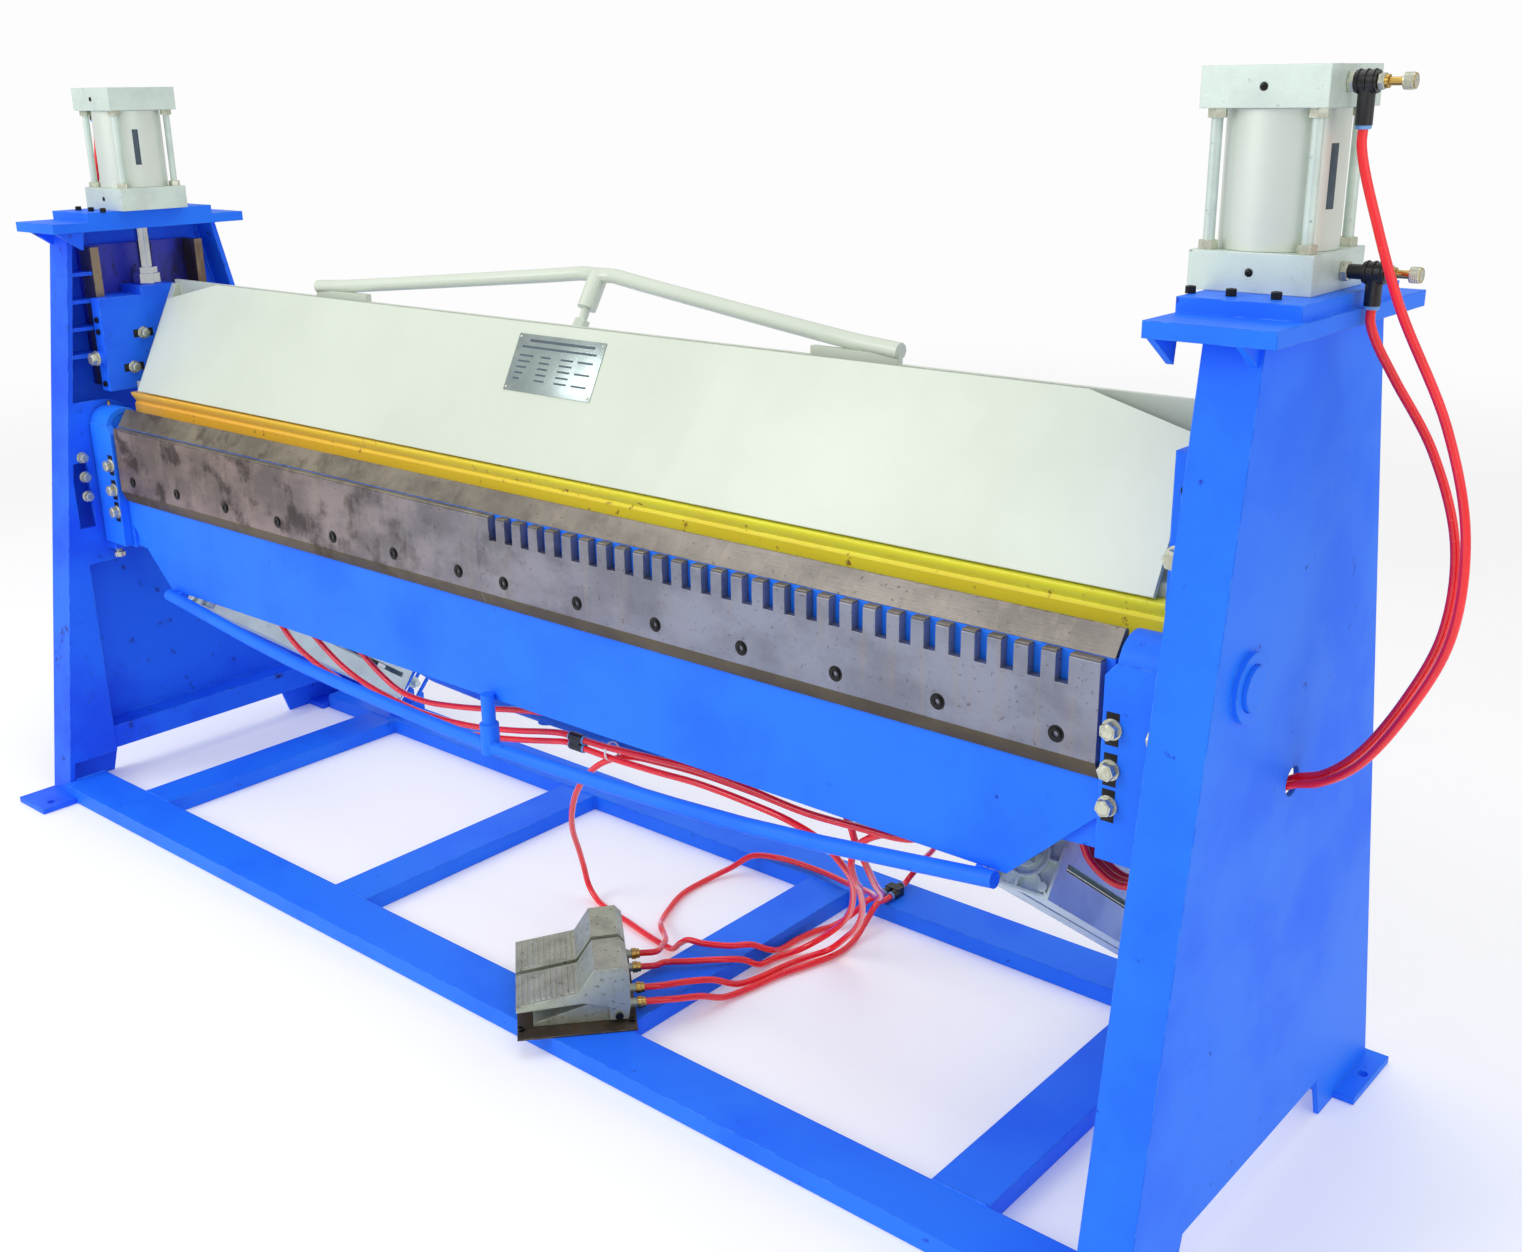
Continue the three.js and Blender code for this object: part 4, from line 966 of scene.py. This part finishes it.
def seat_gussets():
    """Small corner plates between each seat's front overhang and the column's front face."""
    for hand, s in HANDS:
        bm = bmesh.new()
        for inner in (1290, 1400):
            plate = bmesh.new()
            for x in (inner, inner + GUSSET_THICK):
                for y, z in GUSSET_CORNERS:
                    plate.verts.new(at(s * x, y, z))
            bmesh.ops.convex_hull(plate, input=plate.verts)
            bmesh.ops.recalc_face_normals(plate, faces=plate.faces)
            join(bm, plate)
        settle(f"seat_gussets_{hand}", bm, column_paint(hand), "frame")


seat_gussets()

CYLINDER_X, CYLINDER_Y = 1344, 369
TIE_AT = 62
# Name, depth, height, the elbow's place across, the elbow's open end, the screw's seat.
REGULATORS = (("top", 347, 1568, 1443, 1520, 1456), ("bottom", 382, 1351, 1462, 1312, 1475))


def cylinder_details():
    for hand, s in HANDS:
        middle = s * CYLINDER_X
        signs = [(i, j) for i in (-1, 1) for j in (-1, 1)]
        corners = [(middle + i * TIE_AT, CYLINDER_Y + j * TIE_AT) for i, j in signs]
        nuts = [turn_to((x, y, 1540), (0, 0, -1), 15) for x, y in corners]
        nuts += [turn_to((x, y, 1376), (0, 0, 1), 40) for x, y in corners]
        scatter(f"tie_nuts_{hand}", hexagon(21, 11, 1.0), nuts, ZINC, "frame")
        caps = [turn_to((middle, 290.5, z), (0, -1, 0)) for z in (1352, 1564)]
        head = [(4.6, 0), (4.6, 0.8), (3.8, 1.4), (1.4, 1.4), (1.2, 0.2), (0, 0.2)]
        screw = lathe([(0, 0), *head], 20)
        scatter(f"cushion_screws_{hand}", screw, caps, BLACKENED, "frame")
        for name, y, z, x, end, tip in REGULATORS:
            out = (s, 0, 0)
            collar = lathe([(6.3, 0), (9.2, 0), (9.2, 3), (8, 4.4), (6.3, 4.4), (6.3, 0)], 28)
            place = turn_to((s * x, y, end), (0, 0, -1))
            bmesh.ops.transform(collar, matrix=place, verts=collar.verts)
            settle(f"elbow_release_{name}_{hand}", collar, RELEASE_BLUE, "frame")
            place, body = f"{name}_{hand}", f"screw_{name}_{hand}"
            neck = [turn_to((s * 1422.9, y, z), out)]
            collar = hexagon(22.6, 8, 0.6)
            scatter(f"regulator_neck_{place}", collar, neck, ZINC, "frame")
            knurls = [(9.4 + i % 2 * 0.5, 1 + i) for i in range(1, 11)]
            knob = lathe(
                [(0, 0), (9.4, 0), (9.4, 1), *knurls, (9.2, 12), (7, 13.2), (0, 13.2)], 28
            )
            grip = [turn_to((s * (tip + 29), y, z), out)]
            scatter(f"flow_knob_{place}", knob, grip, ZINC, body)
            lock = [turn_to((s * (tip + 1), y, z), out, 10)]
            scatter(f"flow_lock_nut_{place}", hexagon(17.4, 7, 0.8), lock, ZINC, body)
            crown = [(14.2, -1), (14.4, 0), (14.2, 1)]
            ring = lathe([(13.2, -1), *crown, (13.2, 1), (13.2, -1)], 32)
            rings = [turn_to((s * (x + step), y, z), (1, 0, 0)) for step in (-9, 0, 9)]
            bands = f"regulator_bands_{place}"
            scatter(bands, ring, rings, FITTING_NYLON, "frame")


cylinder_details()


LABEL_RADIUS, LABEL_FOOT, LABEL_TALL, LABEL_THICK = 0.0722, 1.425, 0.075, 0.0003
LABEL_TURN = (math.radians(-24), math.radians(-12))


def barrel_label(hand, s):
    """Plain dark strip wrapped a little way round the barrel."""
    bm = bmesh.new()
    ring = bmesh.ops.create_circle(bm, segments=144, radius=LABEL_RADIUS)["verts"]
    low, high = LABEL_TURN
    spare = [v for v in ring if not low <= math.atan2(v.co.y, v.co.x) <= high]
    bmesh.ops.delete(bm, geom=spare, context="VERTS")
    bmesh.ops.translate(bm, verts=bm.verts, vec=(0, 0, LABEL_FOOT))
    grown = bmesh.ops.extrude_edge_only(bm, edges=bm.edges[:])["geom"]
    rim = [g for g in grown if isinstance(g, bmesh.types.BMVert)]
    bmesh.ops.translate(bm, verts=rim, vec=(0, 0, LABEL_TALL))
    bmesh.ops.recalc_face_normals(bm, faces=bm.faces)
    bmesh.ops.solidify(bm, geom=bm.faces[:], thickness=LABEL_THICK)
    bmesh.ops.translate(bm, verts=bm.verts, vec=at(s * CYLINDER_X, CYLINDER_Y, 0))
    settle(f"barrel_label_{hand}", bm, PLATE_INK, "frame")


for hand, s in HANDS:
    barrel_label(hand, s)


# ---- welds
RUNGS, RAIL_EDGES = (-1105, -367, 367, 1105), (94, 730)
COLUMN_ENDS = (140, 1280)
# Where each edge of a column would meet the floor, and how far it leans for each step up.
COLUMN_EDGES = ((14, 0.1487), (841, -0.2329))


def frame_welds():
    runs = []
    for centre in RUNGS:
        for y in RAIL_EDGES:
            runs.append(((centre - 48, y, 33), (centre + 48, y, 33)))
            runs += [((centre + i * 51, y, 2), (centre + i * 51, y, 32)) for i in (-1, 1)]
    for _, s in HANDS:
        x = s * 1337
        runs += [((x, 20, 35), (x, 92, 35)), ((x, 732, 35), (x, 822, 35))]
    weld("base_welds", runs, "frame")
    for hand, s in HANDS:
        x = s * 1406
        runs = [
            [(x, foot + lean * z, z) for z in COLUMN_ENDS] for foot, lean in COLUMN_EDGES
        ]
        weld(f"column_seams_{hand}", runs, "frame", column_paint(hand))


frame_welds()


def leaf_welds():
    runs = []
    for _, s in HANDS:
        runs.append(((s * 1092, 190, 506), (s * 1052, 192, 510)))
        runs.append(((s * 1236, 207, 660), (s * 1236, 207, 795)))
    runs.append(((-12, 190, 508), (12, 190, 508)))
    weld("leaf_weld_beads", runs, "leaf")


leaf_welds()


# ---- foot valves
PEDAL_AT = (267, 110, 37.6)
PEDAL_TURN = -0.7217
PEDALS = {"near": 57, "far": -62}
PORTS = ((-14, 24), (14, 12))


def on_pedal(x, y, z):
    """A place on the drawing from one beside the foot valves: toe towards -Y."""
    c, s = math.cos(PEDAL_TURN), math.sin(PEDAL_TURN)
    return (PEDAL_AT[0] + x * c - y * s, PEDAL_AT[1] + x * s + y * c, PEDAL_AT[2] + z)


def pedal_details():
    back = (-math.sin(PEDAL_TURN), math.cos(PEDAL_TURN), 0)
    across = (math.cos(PEDAL_TURN), math.sin(PEDAL_TURN), 0)
    ports = [(x + px, pz) for x in PEDALS.values() for px, pz in PORTS]
    barb = [(10.5, 0), (10.5, 8), (9, 9), (9, 14), (8, 15)]
    collet = lathe([(6.3, 0), *barb, (6.3, 15), (6.3, 0)], 28)
    places = [turn_to(on_pedal(x, 112, z), back) for x, z in ports]
    scatter("pedal_port_collets", collet, places, BRASS, "frame")
    for name, x in PEDALS.items():
        ends = [turn_to(on_pedal(x + i * 57, 78, 14), [i * a for a in across]) for i in (-1, 1)]
        cap = lathe([(0, 0), (7, 0), (7, 1.5), (6, 2.4), (3, 2.4), (2.6, 1.4), (0, 1.4)], 24)
        scatter(f"pedal_axle_caps_{name}", cap, ends, BLACKENED, "frame")
    corners = [(x, y) for x in (-112, 0, 108) for y in (-92, 100)]
    places = [turn_to(on_pedal(x, y, -0.4), (0, 0, 1)) for x, y in corners]
    screw = socket_screw(6, 6, 3)
    scatter("pedal_plate_screws", screw, places, BLACKENED, "frame")


pedal_details()


# ---- hose fittings and ties
def hose_fittings():
    band = lathe([(16.5, -2), (18, -2), (18, 2), (16.5, 2), (16.5, -2)], 32)
    tie = [turn_to((216, 283, 434), (1, 0, 0.1))]
    scatter("hose_tie", band, tie, TIE_WHITE, "frame")
    ring = lathe([(6.4, 0), (8.6, 0), (8.6, 2.4), (7.4, 3.6), (6.4, 3.6), (6.4, 0)], 28)
    ends = [turn_to((150.3, 276, z), (1, 0, 0)) for z in (441, 425)]
    ends += [turn_to((117.7, 276, z), (-1, 0, 0)) for z in (441, 425)]
    ends += [turn_to((x, 751.7, 44), (0, -1, 0)) for x in (487, 505)]
    ends += [turn_to((496, 797.3, 44), (0, 1, 0))]
    scatter("joint_release_rings", ring, ends, RELEASE_BLUE, "frame")


hose_fittings()


# ---- bending cylinders
BENDING_X, BENDING_CLEVIS, BENDING_PIN = 1083, (222, 549), (815, 110)
BENDING_END, BENDING_TIE_AT = 680, 44


def bending_details():
    dy, dz = (pin - clevis for clevis, pin in zip(BENDING_CLEVIS, BENDING_PIN))
    tilt = math.atan2(dz, dy)
    along = Vector((0, math.cos(tilt), math.sin(tilt)))
    above = Vector((0, -math.sin(tilt), math.cos(tilt)))
    for hand, s in HANDS:
        end = Vector((s * BENDING_X, *BENDING_CLEVIS)) + along * BENDING_END
        nuts = []
        for i in (-BENDING_TIE_AT, BENDING_TIE_AT):
            for j in (-BENDING_TIE_AT, BENDING_TIE_AT):
                nuts.append(turn_to(end + above * j + Vector((i, 0, 0)), along, 12))
        nut = stud_nut(13, 7, 4, 4)
        name, body = f"bending_tie_nuts_{hand}", f"bend_body_{hand}"
        scatter(name, nut, nuts, ZINC, body)


bending_details()


# ---- studio
FLOOR_HALF, FLOOR_GLOW, FLOOR_FADE = 40, 0.13, (2.4, 8.0)
SKY_LIGHT, SKY_SEEN = 0.68, 0.98
WHITE = (1, 1, 1, 1)


def make_floor():
    """Pale floor that fades out into the white surroundings."""
    bm = bmesh.new()
    bmesh.ops.create_grid(bm, x_segments=1, y_segments=1, size=FLOOR_HALF)
    bmesh.ops.translate(bm, verts=bm.verts, vec=(0, 0, -0.001))
    mesh = bpy.data.meshes.new("studio_floor")
    bm.to_mesh(mesh)
    bm.free()
    material, tree, shader = begin("floor_pale")
    cloud = patches(tree, 0.8, 0.3, 0.7)
    tint = blend_colours(tree, cloud, (0.95, 0.95, 0.95, 1), (0.93, 0.93, 0.935, 1))
    tree.links.new(tint, shader.inputs["Base Color"])
    shader.inputs["Roughness"].default_value = 0.75
    shader.inputs["Emission Color"].default_value = WHITE
    shader.inputs["Emission Strength"].default_value = FLOOR_GLOW
    reach = add(tree, "ShaderNodeVectorMath", {0: own_space(tree)}, operation="LENGTH")
    away = remap(tree, reach.outputs["Value"], *FLOOR_FADE)
    gone = add(tree, "ShaderNodeBsdfTransparent").outputs[0]
    mixed = add(tree, "ShaderNodeMixShader", {0: away, 1: shader.outputs[0], 2: gone}).outputs[0]
    tree.links.new(mixed, tree.nodes["Material Output"].inputs["Surface"])
    mesh.materials.append(material)
    floor = bpy.data.objects.new("studio_floor", mesh)
    bpy.context.scene.collection.objects.link(floor)


def area_light(name, centre, aim, size, power):
    data = bpy.data.lights.new(name, "AREA")
    data.size = size
    data.energy = power
    light = bpy.data.objects.new(name, data)
    light.location = centre
    light.rotation_mode = "QUATERNION"
    ahead = Vector(aim) - Vector(centre)
    light.rotation_quaternion = ahead.to_track_quat("-Z", "Y")
    bpy.context.scene.collection.objects.link(light)


def make_studio():
    make_floor()
    world = bpy.data.worlds.new("studio")
    world.use_nodes = True
    tree = world.node_tree
    seen = add(tree, "ShaderNodeLightPath").outputs["Is Camera Ray"]
    levels = {"Value": seen, "To Min": SKY_LIGHT, "To Max": SKY_SEEN}
    strength = add(tree, "ShaderNodeMapRange", levels).outputs[0]
    tree.links.new(strength, tree.nodes["Background"].inputs["Strength"])
    tree.nodes["Background"].inputs["Color"].default_value = WHITE
    bpy.context.scene.world = world
    area_light("key", (-2.2, -4.2, 3.6), (0, 0, 0.7), 3.0, 120)
    area_light("fill", (4.6, -1.0, 2.6), (0.6, 0, 0.7), 3.5, 30)
    area_light("top", (0.3, 0.4, 4.6), (0.2, 0, 0.6), 3.5, 40)
    bpy.context.scene.view_settings.view_transform = "Standard"


make_studio()
